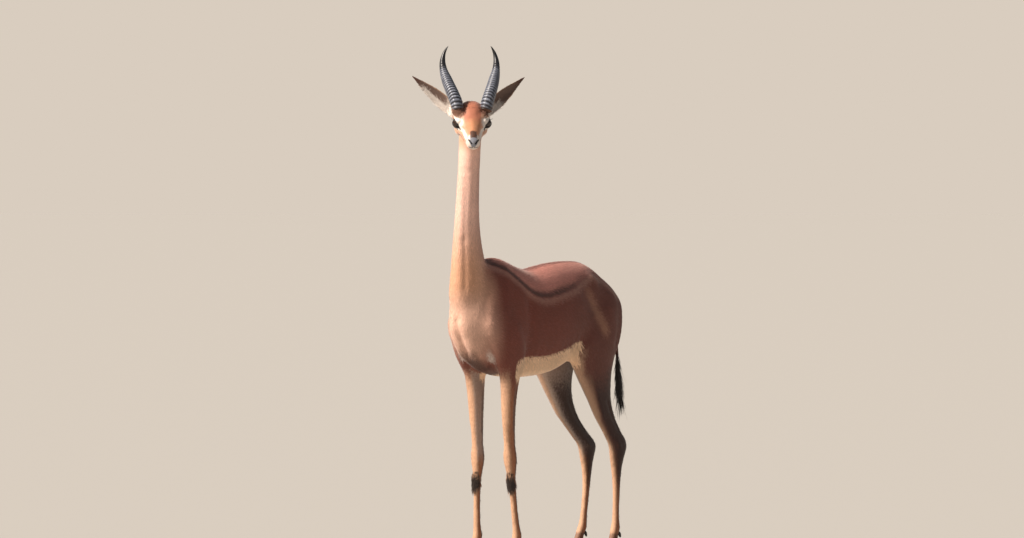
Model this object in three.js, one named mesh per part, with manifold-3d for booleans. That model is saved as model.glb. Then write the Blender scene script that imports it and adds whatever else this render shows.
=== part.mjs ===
// Life-size still model of a standing male gerenuk, a tall slender African antelope.
// Millimetres, +Z up. The body faces -Y, its left side is +X, and the head is turned to its left.
import * as THREE from "three";
import { mergeVertices } from "three/addons/utils/BufferGeometryUtils.js";
import Module from "manifold-3d";

// Driving sizes
const GAP = 0.3; // clearance between touching pieces
const LEG_SIDES = 14;
const TRUNK_SIDES = 24;
const HEAD_SIDES = 22;
const HORN_SIDES = 12;

const HEAD_YAW = THREE.MathUtils.degToRad(42); // turn to the animal's left
const HEAD_PITCH = THREE.MathUtils.degToRad(27.5); // muzzle below the horizon
const EYES_MIDPOINT = [83, -431, 1435];
const EYE_RADIUS = 16;
const EYE_PLACE = [4, 46, 1]; // forward, sideways, up from the eyes' midpoint
const EAR_TIPS = { 1: [177, 1583], [-1]: [187, 1586] }; // sideways and z
const EAR_THICKNESS = 4;
const HORN_RIDGES = 17;
const HORN_RIDGE_HEIGHT = 0.075; // share of the horn's radius
const HORN_OVAL = 1.22; // depth over width

const KNEE_CUT_Z = 332;
const HOCK_CUT_Z = 322;
const CORONET_Z = 44;
const CORONET_SLOPE = 0.4; // rise of the coronet towards the toe
const CLAW_SPREAD = 10.6; // half the distance between the two claws of a foot

// Trunk sections from chest to rump: y, top z, bottom z, half width, z of the widest point
const TRUNK = [
  [-408, 850, 775, 26, 812],
  [-392, 892, 744, 45, 812],
  [-365, 932, 704, 65, 808],
  [-330, 964, 667, 86, 800],
  [-290, 986, 641, 98, 795],
  [-250, 999, 623, 104, 788],
  [-210, 1000, 613, 107, 782],
  [-160, 985, 608, 109, 778],
  [-110, 969, 606, 112, 775],
  [-60, 961, 607, 115, 775],
  [0, 970, 611, 117, 778],
  [60, 979, 622, 115, 785],
  [110, 984, 641, 112, 795],
  [160, 986, 668, 109, 808],
  [210, 985, 700, 105, 822],
  [250, 974, 725, 100, 830],
  [290, 948, 745, 92, 832],
  [330, 918, 765, 78, 830],
  [365, 886, 785, 57, 825],
  [397, 852, 803, 24, 822],
];

// Neck sections from inside the chest to the poll: x, y, z, half width, half depth, yaw share
const NECK = [
  [0, -318, 840, 62, 92, 0],
  [0, -336, 900, 58, 90, 0],
  [0, -345, 950, 51, 79, 0.05],
  [0, -350, 1005, 46, 68, 0.1],
  [0, -353, 1060, 42, 59, 0.2],
  [3, -356, 1130, 39, 52, 0.35],
  [8, -358, 1210, 37.5, 48, 0.55],
  [14, -360, 1290, 37, 46, 0.75],
  [20, -363, 1355, 37.5, 45, 0.9],
  [27, -369, 1410, 38.5, 45, 1],
  [34, -377, 1455, 36, 42, 1],
  [40, -384, 1480, 25, 30, 1],
];

// Head sections from poll to nose, along the face: forward, up to the brow line, down to the jaw,
// half width, height of the widest point
const HEAD = [
  [-98, 14, -18, 20, -2],
  [-90, 30, -38, 32, -2],
  [-74, 42, -54, 42, -2],
  [-52, 50, -64, 49, -4],
  [-30, 54, -67, 52, -4],
  [-10, 52, -64, 53, -2],
  [8, 44, -58, 50, -2],
  [26, 34, -56, 43, -8],
  [44, 25, -54, 36, -13],
  [62, 18, -52, 30.5, -16],
  [80, 12, -50, 26.5, -18],
  [96, 7, -47, 24, -20],
  [107, 2, -43, 21, -20],
  [115, -5, -37, 16, -20],
  [120, -12, -30, 9, -20],
];

// Line of the mouth and slit of a nostril, on one side: forward, sideways, up
const MOUTH = [
  [118, 0, -31.5], [113, 10, -31.5], [104, 19, -32], [92, 23, -33], [78, 26, -34], [62, 30, -34],
  [50, 34, -33],
];
const NOSTRIL = [[107, 16, -8], [113, 11.5, -10.5], [118, 6, -16]];

// Soft forms of one side of the face: forward, sideways, up, and half sizes forward, sideways, up
const FACE_FORMS = [
  [-2, 36, 15, 29, 16.5, 14], // brow
  [-28, 36, -34, 38, 15, 24], // cheek
  [101, 9.5, -12, 15, 8.5, 8.5], // wing of the nostril
  [94, 12.5, -25, 22, 11, 11], // upper lip
];

// Ear outline: share of its length, half width, depth of the cup
const EAR = [
  [0, 18, 17], [0.1, 20.5, 17], [0.22, 23.5, 16], [0.34, 25.5, 14], [0.47, 24, 12],
  [0.6, 20, 9.5], [0.73, 14.5, 6.5], [0.85, 8.8, 3.6], [0.95, 4, 1.6], [1, 1.2, 0.6],
];

// Horn centre line in the turned head's frame: sideways, back, z, radius
const HORN = [
  [43, -2, 1470, 20],
  [50, 4, 1500, 20],
  [60, 24, 1528, 19.4],
  [69, 52, 1552, 18.4],
  [77, 84, 1576, 16.8],
  [84, 112, 1601, 13.2],
  [87, 131, 1630, 9.8],
  [83, 138, 1656, 6.2],
  [75, 135, 1674, 3.3],
  [69, 131, 1683, 1.1],
];

// Bone under a horn, covered with hair, in the same frame
const HORN_FOOT = [
  [29, -2, 1446, 25],
  [38, -2, 1462, 24],
  [44, -2, 1475, 22.5],
  [48, 1, 1490, 19],
];

// Foreleg sections: z, x, half width, half depth
const FORELEG = [
  [905, 56, 22, 38],
  [860, 65, 33, 66],
  [800, 70, 39, 84],
  [740, 74, 40, 88],
  [690, 76, 37, 79],
  [650, 76, 32.5, 64],
  [617, 75, 29, 46],
  [559, 72, 25, 35],
  [501, 70, 22, 30],
  [445, 68, 19.5, 27],
  [389, 66, 18.5, 24],
  [364, 65.5, 20, 24.5],
  [342, 65, 20.5, 24],
  [318, 64.5, 18, 21.5],
  [290, 64, 14.5, 17.5],
  [250, 63.5, 12.5, 15],
  [174, 62, 12, 14],
  [118, 61, 13, 15.5],
  [95, 60.5, 16, 19.5],
  [78, 60, 15.2, 18],
  [60, 60, 15.5, 18.5],
  [40, 60, 17.5, 21],
  [26, 60, 15, 18],
];

// Hind leg sections: z, x, half width, half depth
const HINDLEG = [
  [935, 36, 20, 40],
  [914, 45, 34, 66],
  [874, 55, 44, 86],
  [829, 62, 50, 98],
  [771, 68, 51, 111],
  [720, 70, 50.5, 118],
  [674, 69, 48.5, 110],
  [624, 70, 43, 90],
  [573, 70, 35, 71],
  [523, 68, 27.5, 56],
  [470, 66, 23, 50],
  [425, 64, 20, 48],
  [392, 63, 18.5, 49],
  [367, 62, 18, 46],
  [345, 61.5, 18, 39],
  [318, 61, 17, 30],
  [286, 60, 14.5, 22.5],
  [230, 60, 12.5, 16.5],
  [160, 60, 12, 14.5],
  [118, 60, 13.2, 16],
  [95, 60, 16, 20],
  [78, 60, 15.2, 18.5],
  [60, 60, 15.5, 18.5],
  [40, 60, 17.5, 21],
  [26, 60, 15, 18],
];

// Stance of each leg: z and the y of the leg's centre line there
const STANCE = {
  foreleg_left: [
    [905, -240], [800, -256], [690, -235], [617, -224], [501, -225], [389, -214], [342, -208],
    [290, -202], [174, -183], [118, -172], [95, -168], [60, -175], [26, -186],
  ],
  foreleg_right: [
    [905, -240], [800, -256], [690, -233], [617, -217], [501, -215], [389, -215], [342, -214],
    [290, -218], [174, -223], [118, -223], [95, -222], [60, -231], [26, -242],
  ],
  hindleg_left: [
    [935, 235], [874, 272], [829, 279], [771, 261], [720, 239], [674, 222], [624, 224], [573, 240],
    [523, 262], [470, 292], [425, 329], [392, 356], [367, 370], [318, 366], [230, 366], [118, 362],
    [95, 359], [60, 347], [26, 336],
  ],
  hindleg_right: [
    [935, 235], [874, 272], [829, 277], [771, 255], [720, 228], [674, 205], [624, 198], [573, 210],
    [523, 231], [470, 264], [425, 307], [392, 342], [367, 364], [318, 362], [230, 358], [118, 341],
    [95, 334], [60, 316], [26, 303],
  ],
};

// Claw sections: z, half width, reach to the toe, reach to the heel
const CLAW = [
  [0, 9.6, 35, 24],
  [2.5, 10.2, 36.5, 25],
  [24, 9.8, 25, 25],
  [44, 9, 13, 23],
  [62, 7.5, 6, 17],
];

// Tail centre line: x, y, z, half width, half depth
const TAIL = [
  [0, 372, 872, 15, 15],
  [0, 398, 862, 15, 15],
  [2, 417, 838, 14, 13],
  [5, 427, 800, 12, 11],
  [8, 431, 740, 9.5, 9],
  [10, 434, 670, 8, 7.5],
  [12, 438, 610, 7, 6.5],
  [13, 443, 560, 6, 6],
  [14, 448, 520, 4, 4],
];
const TAIL_CUT_Y = 411;
const TUFT_CUT_Z = 622;
const TUFT_LOCKS = 12;
const TUFT_TOP_Z = 645;
const TUFT_LOCK_LENGTH = 120;
const KNEE_LOCKS = 6;
const KNEE_LOCK_LENGTH = 50;

const wasm = await Module();
wasm.setup();
const { sin, cos, abs, sign, sqrt, PI } = Math;
const vec = (x, y, z) => new THREE.Vector3(x, y, z);
const UP = vec(0, 0, 1);

// Head frame: forward along the face, sideways to the animal's left, up out of the brow
const FACE = vec(sin(HEAD_YAW) * cos(HEAD_PITCH), -cos(HEAD_YAW) * cos(HEAD_PITCH), -sin(HEAD_PITCH));
const SIDE = vec(cos(HEAD_YAW), sin(HEAD_YAW), 0);
const BROW = SIDE.clone().cross(FACE).negate();
const onHead = (forward, sideways, up) =>
  vec(...EYES_MIDPOINT)
    .addScaledVector(FACE, forward)
    .addScaledVector(SIDE, sideways)
    .addScaledVector(BROW, up);

// Direction straight back from the face, and points given in the horns' own level frame
const LEVEL_BACK = vec(-FACE.x, -FACE.y, 0).normalize();
const atHorn = (side, [sideways, back, z]) =>
  vec(EYES_MIDPOINT[0], EYES_MIDPOINT[1], 0)
    .addScaledVector(SIDE, side * sideways)
    .addScaledVector(LEVEL_BACK, back)
    .setZ(z);

// Catmull-Rom interpolation of rows of numbers, parts steps between neighbours
function smooth(rows, parts) {
  const out = [];
  for (let i = 0; i < rows.length - 1; i++) {
    const [a, b, c, d] = [-1, 0, 1, 2].map((k) => rows[THREE.MathUtils.clamp(i + k, 0, rows.length - 1)]);
    for (let s = 0; s < parts; s++) {
      const t = s / parts;
      out.push(
        b.map(
          (v, k) =>
            0.5 *
            (2 * v + (c[k] - a[k]) * t + (2 * a[k] - 5 * v + 4 * c[k] - d[k]) * t * t +
              (3 * v - a[k] - 3 * c[k] + d[k]) * t ** 3),
        ),
      );
    }
  }
  out.push(rows.at(-1));
  return out;
}

// Value of a falling-z table of [z, value] at z, by smooth steps
function alongLeg(table, z) {
  const i = THREE.MathUtils.clamp(table.findIndex(([h]) => h <= z) - 1, 0, table.length - 2);
  const [[z0, v0], [z1, v1]] = [table[i], table[i + 1]];
  const before = table[Math.max(i - 1, 0)];
  const after = table[Math.min(i + 2, table.length - 1)];
  const slope = (p, q) => (p[0] === q[0] ? 0 : (q[1] - p[1]) / (q[0] - p[0]));
  const [m0, m1] = [slope(before, [z1, v1]), slope([z0, v0], after)];
  const h = z1 - z0;
  const t = (z - z0) / h;
  return (
    (2 * t ** 3 - 3 * t * t + 1) * v0 + (t ** 3 - 2 * t * t + t) * h * m0 +
    (3 * t * t - 2 * t ** 3) * v1 + (t ** 3 - t * t) * h * m1
  );
}

// Closed mesh through rings of equal length, each end closed by a fan
function loft(rings) {
  const n = rings[0].length;
  const points = rings.flat();
  const faces = [];
  for (let r = 0; r < rings.length - 1; r++)
    for (let i = 0; i < n; i++) {
      const [a, b] = [r * n + i, r * n + ((i + 1) % n)];
      faces.push(a, b, b + n, a, b + n, a + n);
    }
  for (const [ring, start, turn] of [[rings[0], 0, 1], [rings.at(-1), (rings.length - 1) * n, 0]]) {
    const middle = ring.reduce((sum, p) => sum.add(p), vec(0, 0, 0)).divideScalar(n);
    const hub = points.push(middle) - 1;
    for (let i = 0; i < n; i++) {
      const [a, b] = [start + i, start + ((i + 1) % n)];
      faces.push(...(turn ? [hub, b, a] : [hub, a, b]));
    }
  }
  const geometry = new THREE.BufferGeometry().setFromPoints(points);
  geometry.setIndex(faces);
  return geometry;
}

// Oval ring about a centre: across and up are unit directions, power 2 is an ellipse
function oval(centre, across, up, halfWidth, upper, lower, sides, power = 2) {
  const shape = (v) => sign(v) * abs(v) ** (2 / power);
  return Array.from({ length: sides }, (_, i) => {
    const angle = (2 * PI * i) / sides;
    const height = shape(sin(angle)) * (sin(angle) > 0 ? upper : lower);
    return centre
      .clone()
      .addScaledVector(across, shape(cos(angle)) * halfWidth)
      .addScaledVector(up, height);
  });
}

// Geometry to solid, turned the right way out
function solid(geometry) {
  const g = geometry.clone();
  g.deleteAttribute("normal");
  g.deleteAttribute("uv");
  const m = mergeVertices(g, 1e-4);
  const triVerts = new Uint32Array(m.index.array);
  const build = () =>
    new wasm.Manifold(
      new wasm.Mesh({ numProp: 3, vertProperties: m.attributes.position.array, triVerts }),
    );
  let made = build();
  if (made.volume() < 0) {
    for (let i = 0; i < triVerts.length; i += 3)
      [triVerts[i + 1], triVerts[i + 2]] = [triVerts[i + 2], triVerts[i + 1]];
    made = build();
  }
  return made;
}

const join = (pieces) => pieces.reduce((all, piece) => all.add(piece));
const largest = (body) => body.decompose().reduce((a, b) => (b.volume() > a.volume() ? b : a));
const ball = (centre, radii, wide = 10, high = 8) =>
  solid(new THREE.SphereGeometry(1, wide, high).scale(...radii).translate(...centre));

// Half space beyond a plane, as a large box: the side that the normal points to
const REACH = 4000;
function beyond(point, normal, shift = 0) {
  const turn = new THREE.Quaternion().setFromUnitVectors(vec(0, 0, 1), normal.clone().normalize());
  const box = new THREE.BoxGeometry(REACH, REACH, REACH).translate(0, 0, REACH / 2 + shift);
  box.applyQuaternion(turn).translate(point.x, point.y, point.z);
  return solid(box);
}

// Parts a body at a plane: [the side the normal points to, the rest], with the gap between them
function part(body, point, normal, within = null) {
  let near = beyond(point, normal, GAP / 2);
  let wide = beyond(point, normal, -GAP / 2);
  if (within) [near, wide] = [near.intersect(within), wide.intersect(within)];
  return [body.intersect(near), body.subtract(wide)];
}

const boxOf = (low, high) =>
  solid(
    new THREE.BoxGeometry(...high.map((v, i) => v - low[i])).translate(
      ...high.map((v, i) => (v + low[i]) / 2),
    ),
  );

// Oval ball on the head, its half sizes forward, sideways and up
function headBall(forward, sideways, up, sizes, wide = 9, high = 7) {
  const ball = new THREE.SphereGeometry(1, wide, high).scale(sizes[1], sizes[0], sizes[2]);
  ball.applyMatrix4(new THREE.Matrix4().makeBasis(SIDE, FACE, BROW));
  return solid(ball.translate(...onHead(forward, sideways, up)));
}

// Rod of few sides through points, with its half width and half height at each point
function rod(points, sizes, sides) {
  const rings = points.map((point, i) => {
    const ahead = points[Math.min(i + 1, points.length - 1)];
    const axis = ahead.clone().sub(points[Math.max(i - 1, 0)]).normalize();
    const wide = axis.clone().cross(BROW).normalize();
    const high = wide.clone().cross(axis).normalize();
    return oval(point, wide, high, sizes[i][0], sizes[i][1], sizes[i][1], sides);
  });
  return solid(loft(rings));
}

// Flat tapered lock of hair along points, wide across and thin along its normal
function lock(points, across, width, thickness) {
  const curve = new THREE.CatmullRomCurve3(points);
  const steps = 3;
  const rings = [];
  for (let i = 0; i <= steps; i++) {
    const t = i / steps;
    const centre = curve.getPoint(t);
    const tangent = curve.getTangent(t);
    const normal = tangent.clone().cross(across).normalize();
    const side = normal.clone().cross(tangent).normalize();
    const taper = sqrt(Math.max(1 - t * t, 0.012)) * (0.75 + 0.25 * sin(PI * t));
    rings.push(oval(centre, side, normal, width * taper, thickness * taper, thickness * taper, 4));
  }
  return solid(loft(rings));
}

// Trunk
function trunkSolid() {
  const rings = smooth(TRUNK, 1).map(([y, top, bottom, half, widest]) =>
    oval(vec(0, y, widest), vec(1, 0, 0), UP, half, top - widest, widest - bottom, TRUNK_SIDES, 2.15),
  );
  return solid(loft(rings));
}

// Neck, turning with the head towards its top
function neckSolid() {
  const rows = smooth(NECK, 1);
  const rings = rows.map(([x, y, z, half, depth, share], i) => {
    const before = rows[Math.max(i - 1, 0)];
    const after = rows[Math.min(i + 1, rows.length - 1)];
    const axis = vec(after[0] - before[0], after[1] - before[1], after[2] - before[2]).normalize();
    const yaw = HEAD_YAW * share;
    const front = axis.clone().cross(vec(cos(yaw), sin(yaw), 0)).normalize();
    const across = front.clone().cross(axis).normalize();
    return oval(vec(x, y, z), across, front, half, depth, depth, 20, 2.1);
  });
  return solid(loft(rings));
}

// Leg from its sections and stance; the side is 1 for left and -1 for right
function legCentre(stance, section, side) {
  return vec(side * section[1], alongLeg(stance, section[0]), section[0]);
}
function legSolid(sections, stance, side) {
  const rings = smooth(sections, 1).map((section) => {
    const [, , half, depth] = section;
    const centre = legCentre(stance, section, side);
    return oval(centre, vec(1, 0, 0), vec(0, -1, 0), half, depth, depth, LEG_SIDES, 2.1);
  });
  return solid(loft(rings));
}

// Two claws of a foot, as a left and a right solid
function clawSolid(stance, footX, offset) {
  const footY = alongLeg(stance, 34);
  const rings = CLAW.map(([z, half, toe, heel]) =>
    oval(vec(footX + offset, footY, z), vec(1, 0, 0), vec(0, -1, 0), half, toe, heel, 12, 2.4),
  );
  return solid(loft(rings));
}

function eyeCentre(side) {
  const [forward, sideways, up] = EYE_PLACE;
  return onHead(forward, side * sideways, up);
}

// Raised oval rim of the lids round an eye
function lidRim(side) {
  const outward = SIDE.clone().multiplyScalar(side).addScaledVector(FACE, 0.62).addScaledVector(BROW, 0.1);
  outward.normalize();
  const along = FACE.clone().addScaledVector(outward, -FACE.dot(outward)).normalize();
  const frame = new THREE.Matrix4().makeBasis(along, outward.clone().cross(along), outward);
  const rim = new THREE.TorusGeometry(EYE_RADIUS * 0.95, 4.6, 6, 16).scale(1.18, 0.86, 1);
  rim.applyMatrix4(frame);
  return solid(rim.translate(...eyeCentre(side).addScaledVector(outward, 8.5)));
}

// Skull and muzzle, with brows, lids, cheeks, lips, nostril wings and chin
function headSolid() {
  const rings = smooth(HEAD, 1).map(([forward, top, bottom, half, mid]) =>
    oval(onHead(forward, 0, mid), SIDE, BROW, half, top - mid, mid - bottom, HEAD_SIDES, 2.15),
  );
  const pieces = [solid(loft(rings)), headBall(92, 0, -38, [20, 15, 10])];
  for (const side of [1, -1]) {
    pieces.push(lidRim(side));
    for (const [forward, sideways, up, ...sizes] of FACE_FORMS)
      pieces.push(headBall(forward, side * sideways, up, sizes));
  }
  return join(pieces);
}

// Mouth line and nostrils, cut into the head
function faceCuts() {
  const left = MOUTH.map(([forward, sideways, up]) => onHead(forward, sideways, up));
  const right = MOUTH.map(([forward, sideways, up]) => onHead(forward, -sideways, up));
  const line = [...left.reverse(), ...right.slice(1)];
  const cuts = [rod(line, line.map(() => [3.4, 1.1]), 4)];
  for (const side of [1, -1]) {
    const slit = NOSTRIL.map(([forward, sideways, up]) => onHead(forward, side * sideways, up));
    cuts.push(rod(slit, [[1.6, 1.2], [3.4, 2.1], [2.6, 2.2]], 6));
  }
  return join(cuts);
}

// Hair-covered foot of a horn
function hornFoot(side) {
  const points = HORN_FOOT.map((row) => atHorn(side, row));
  const axis = points[3].clone().sub(points[0]).normalize();
  const deep = LEVEL_BACK.clone().addScaledVector(axis, -LEVEL_BACK.dot(axis)).normalize();
  const across = deep.clone().cross(axis);
  const rings = HORN_FOOT.map(([, , , radius], i) =>
    oval(points[i], across, deep, radius, radius, radius, 14),
  );
  return solid(loft(rings));
}

// Cupped, pointed ear: each ring is a thin crescent, closing to a tube at the root
function earSolid(side) {
  const root = onHead(-80, side * 44, -14);
  const [reach, tipZ] = EAR_TIPS[side];
  const tip = onHead(-118, side * reach, 0).setZ(tipZ);
  const length = tip.distanceTo(root);
  const axis = tip.clone().sub(root).normalize();
  const opening = vec(FACE.x, FACE.y, -0.2).addScaledVector(SIDE, side * 0.2);
  opening.addScaledVector(axis, -opening.dot(axis)).normalize();
  const across = axis.clone().cross(opening).normalize();
  const half = 7;
  const rings = EAR.map(([t, width, cup]) => {
    const bow = 7 * sin(PI * t);
    const centre = root.clone().addScaledVector(axis, length * t).addScaledVector(opening, -bow);
    const thick = EAR_THICKNESS * (1 - 0.72 * t);
    const outer = [];
    const inner = [];
    for (let i = 0; i <= half; i++) {
      const s = (2 * i) / half - 1;
      const depth = cup * (1 - s * s);
      const edge = 1 - 0.5 * s ** 6;
      const wall = thick * 0.5 * edge;
      const at = (width) => centre.clone().addScaledVector(across, s * width);
      outer.push(at(width).addScaledVector(opening, -depth - wall));
      inner.push(at(width - 0.5).addScaledVector(opening, -depth + wall));
    }
    return [...outer, ...inner.reverse()];
  });
  return solid(loft(rings));
}

// Ridged horn, swept back and curving up to the tip
function hornSolid(side) {
  const rows = smooth(HORN, 8);
  const total = rows.length - 1;
  const [firstRidge, ridgeEnd, steps] = [9, total * 0.76, HORN_RIDGES * 2];
  const kept = [[0, 0]];
  for (let i = 0; i <= steps; i++) kept.push([firstRidge + ((ridgeEnd - firstRidge) * i) / steps, i % 2]);
  for (const share of [0.8, 0.85, 0.9, 0.95, 1]) kept.push([total * share, 0]);
  const at = (position) => {
    const i = Math.min(Math.floor(position), total - 1);
    return rows[i].map((v, k) => v + (rows[i + 1][k] - v) * (position - i));
  };
  const rings = kept.map(([position, ridge]) => {
    const row = at(position);
    const before = atHorn(side, at(Math.max(position - 0.6, 0)));
    const after = atHorn(side, at(Math.min(position + 0.6, total)));
    const axis = after.sub(before).normalize();
    const deep = LEVEL_BACK.clone().addScaledVector(axis, -LEVEL_BACK.dot(axis)).normalize();
    const across = deep.clone().cross(axis).normalize();
    const radius = row[3] * (1 + (ridge ? HORN_RIDGE_HEIGHT : -HORN_RIDGE_HEIGHT / 2));
    const depth = radius * HORN_OVAL;
    return oval(atHorn(side, row), across, deep, radius, depth, depth, HORN_SIDES);
  });
  return solid(loft(rings));
}

function tailSolid() {
  const rings = smooth(TAIL, 2).map(([x, y, z, half, depth], i, rows) => {
    const before = rows[Math.max(i - 1, 0)];
    const after = rows[Math.min(i + 1, rows.length - 1)];
    const axis = vec(0, after[1] - before[1], after[2] - before[2]).normalize();
    const front = axis.clone().cross(vec(1, 0, 0)).normalize();
    return oval(vec(x, y, z), vec(1, 0, 0), front, half, depth, depth, 10);
  });
  return solid(loft(rings));
}

// Centre of the tail at a height
const tailAt = (z) => {
  const rows = smooth(TAIL, 6);
  const row = rows.reduce((a, b) => (abs(b[2] - z) < abs(a[2] - z) ? b : a));
  return vec(row[0], row[1], z);
};

// Locks of the tail's tuft, in two turns round its end
function tailLocks() {
  const locks = [];
  for (let i = 0; i < TUFT_LOCKS; i++) {
    const angle = (2 * PI * i * 5) / TUFT_LOCKS + 0.3;
    const rootZ = TUFT_TOP_Z - 30 - (i % 5) * 20;
    const root = tailAt(rootZ);
    const out = vec(cos(angle), sin(angle), 0);
    const length = TUFT_LOCK_LENGTH * (0.86 + 0.14 * sin(i * 2.4));
    const points = [0, 0.35, 0.7, 1].map((t) =>
      root
        .clone()
        .addScaledVector(out, 3 + 9 * sin(PI * t * 0.75))
        .add(vec(2 * t, 8 * t, -length * t)),
    );
    locks.push(lock(points, vec(-out.y, out.x, 0), 7, 1.5));
  }
  return locks;
}

// Tuft of dark hair below the knee: locks on the front of the cannon
function kneeLocks(stance, side) {
  const locks = [];
  for (let i = 0; i < KNEE_LOCKS; i++) {
    const row = Math.floor(i / 3);
    const spread = (i % 3) - 1 + (row ? 0.3 : 0);
    const z = 304 - 20 * row;
    const centre = vec(side * 64.2, alongLeg(stance, z), z);
    const angle = -PI / 2 + spread * 0.62;
    const out = vec(cos(angle), sin(angle), 0);
    const rootOut = 13 - row * 0.8;
    const points = [0, 0.35, 0.7, 1].map((t) => {
      const height = z - KNEE_LOCK_LENGTH * t;
      const drift = alongLeg(stance, height) - centre.y;
      return centre
        .clone()
        .addScaledVector(out, rootOut + 5.5 * sin(PI * (0.1 + t * 0.8)) - 1)
        .add(vec(0, drift, height - z));
    });
    locks.push(lock(points, vec(-out.y, out.x, 0), 7, 1.6));
  }
  return locks;
}

// Assembly: the flesh is joined whole and then parted with thin cuts
const parts = new Map();
const LEGS = [
  ["foreleg_left", FORELEG, 1, KNEE_CUT_Z],
  ["foreleg_right", FORELEG, -1, KNEE_CUT_Z],
  ["hindleg_left", HINDLEG, 1, HOCK_CUT_Z],
  ["hindleg_right", HINDLEG, -1, HOCK_CUT_Z],
];

const trunk = trunkSolid();
const head = headSolid();
const horns = { left: hornSolid(1), right: hornSolid(-1) };
const ears = { left: earSolid(1), right: earSolid(-1) };
const withers = vec(0, -262, 1003);
const chestTop = vec(0, -418, 846);
const neckCutNormal = vec(0, chestTop.z - withers.z, withers.y - chestTop.y).normalize();
const poll = onHead(-110, 0, -30);
const headCutNormal = FACE.clone().multiplyScalar(0.58).addScaledVector(BROW, 0.81).normalize();

// Head, with the horns and ears parted from it where they leave the skull
let [headBody, neckBody] = part(join([head, neckSolid()]), poll, headCutNormal);
for (const [name, side] of [["left", 1], ["right", -1]]) {
  const hornCut = onHead(-6, side * 48, 56);
  const hornNormal = BROW.clone().addScaledVector(FACE, -0.45).addScaledVector(SIDE, side * 0.2).normalize();
  const aboveFoot = beyond(hornCut, hornNormal, -GAP / 2);
  const [horn] = part(horns[name], hornCut, hornNormal);
  parts.set("horn_" + name, largest(horn));
  headBody = headBody.subtract(horns[name].intersect(aboveFoot));
  headBody = join([headBody, horns[name].subtract(aboveFoot), hornFoot(side).subtract(aboveFoot)]);
  const earCut = onHead(-82, side * 61, -1);
  const earNormal = SIDE.clone().multiplyScalar(side).add(vec(0, 0, 0.9)).addScaledVector(FACE, -0.2);
  earNormal.normalize();
  const pastRoot = beyond(earCut, earNormal, -GAP / 2);
  const [ear, earRoot] = part(ears[name], earCut, earNormal);
  parts.set("ear_" + name, largest(ear));
  headBody = headBody.subtract(pastRoot.intersect(ears[name])).add(earRoot);
  const socket = new THREE.SphereGeometry(EYE_RADIUS + GAP, 14, 9).translate(...eyeCentre(side));
  headBody = headBody.subtract(solid(socket));
  const eyeball = new THREE.SphereGeometry(EYE_RADIUS, 14, 9).translate(...eyeCentre(side));
  parts.set("eye_" + name, solid(eyeball));
}
parts.set("head", largest(headBody.subtract(faceCuts())));

// Neck and trunk with the legs' tops
let body = join([trunk, neckBody]);
const legSolids = LEGS.map(([name, sections, side]) => legSolid(sections, STANCE[name], side));
body = join([body, ...legSolids, tailSolid()]);
let neckPiece;
[neckPiece, body] = part(body, withers, neckCutNormal);
parts.set("neck", largest(neckPiece));

// Tail and its tuft
const tailBox = boxOf([-40, TAIL_CUT_Y - 60, 0], [40, REACH, 900]);
let tail;
[tail, body] = part(body, vec(0, TAIL_CUT_Y, 850), vec(0, 1, 0), tailBox);
tail = largest(tail);
const [tuftCore, tailUpper] = part(tail, vec(0, 0, TUFT_CUT_Z), vec(0, 0, -1));
parts.set("tail", largest(tailUpper));
const locks = join(tailLocks()).intersect(beyond(vec(0, 0, TUFT_CUT_Z - GAP / 2), vec(0, 0, -1)));
parts.set("tail_tuft", largest(tuftCore.add(locks)));

// Legs, cut from the trunk, at the knee or hock and at the coronet
const halves = {
  1: boxOf([GAP / 2, -REACH, -REACH], [REACH, REACH, REACH]),
  [-1]: boxOf([-REACH, -REACH, -REACH], [-GAP / 2, REACH, REACH]),
};
const TOPS = {
  foreleg: {
    point: (side) => vec(side * 42, 0, 604),
    normal: (side) => vec(side * 0.694, 0, -0.719),
    reach: [-REACH, -100],
  },
  hindleg: {
    point: () => vec(0, 100, 595),
    normal: (side) => vec(side * 0.9, 0.35, -1),
    reach: [60, REACH],
  },
};
for (const [name, , side, cutZ] of LEGS) {
  const top = TOPS[name.split("_")[0]];
  const span = boxOf([-REACH, top.reach[0], -REACH], [REACH, top.reach[1], REACH]);
  let leg;
  [leg, body] = part(body, top.point(side), top.normal(side).normalize(), halves[side].intersect(span));
  let [lower, upper] = part(leg, vec(0, 0, cutZ), vec(0, 0, -1));
  parts.set(name + "_upper", largest(upper));
  const stance = STANCE[name];
  const footX = side * 60;
  const footY = alongLeg(stance, 34);
  const coronet = vec(footX, footY, CORONET_Z);
  const slope = vec(0, CORONET_SLOPE, 1).normalize();
  [, lower] = part(lower, coronet, slope.clone().negate());
  lower = largest(lower);
  for (const [where, offset] of [["outer", side * CLAW_SPREAD], ["inner", -side * CLAW_SPREAD]]) {
    const [, claw] = part(clawSolid(stance, footX, offset), coronet, slope);
    parts.set(name.replace("leg", "hoof") + "_" + where, largest(claw));
    const fetlockZ = 76;
    const spurY = alongLeg(stance, fetlockZ) + 18;
    const spur = ball([footX + offset * 0.85, spurY, fetlockZ], [5, 6.5, 9.5], 7, 6);
    const clear = lower.translate(sign(offset) * GAP * 0.7, GAP, 0);
    parts.set(name.replace("leg", "dewclaw") + "_" + where, largest(spur.subtract(lower).subtract(clear)));
  }
  lower = largest(lower);
  if (name.startsWith("foreleg")) {
    const tuft = join(kneeLocks(stance, side)).intersect(beyond(vec(0, 0, cutZ - GAP), vec(0, 0, -1)));
    lower = largest(lower.add(tuft));
  }
  parts.set(name + "_lower", lower);
}

parts.set("torso", largest(body));

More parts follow.
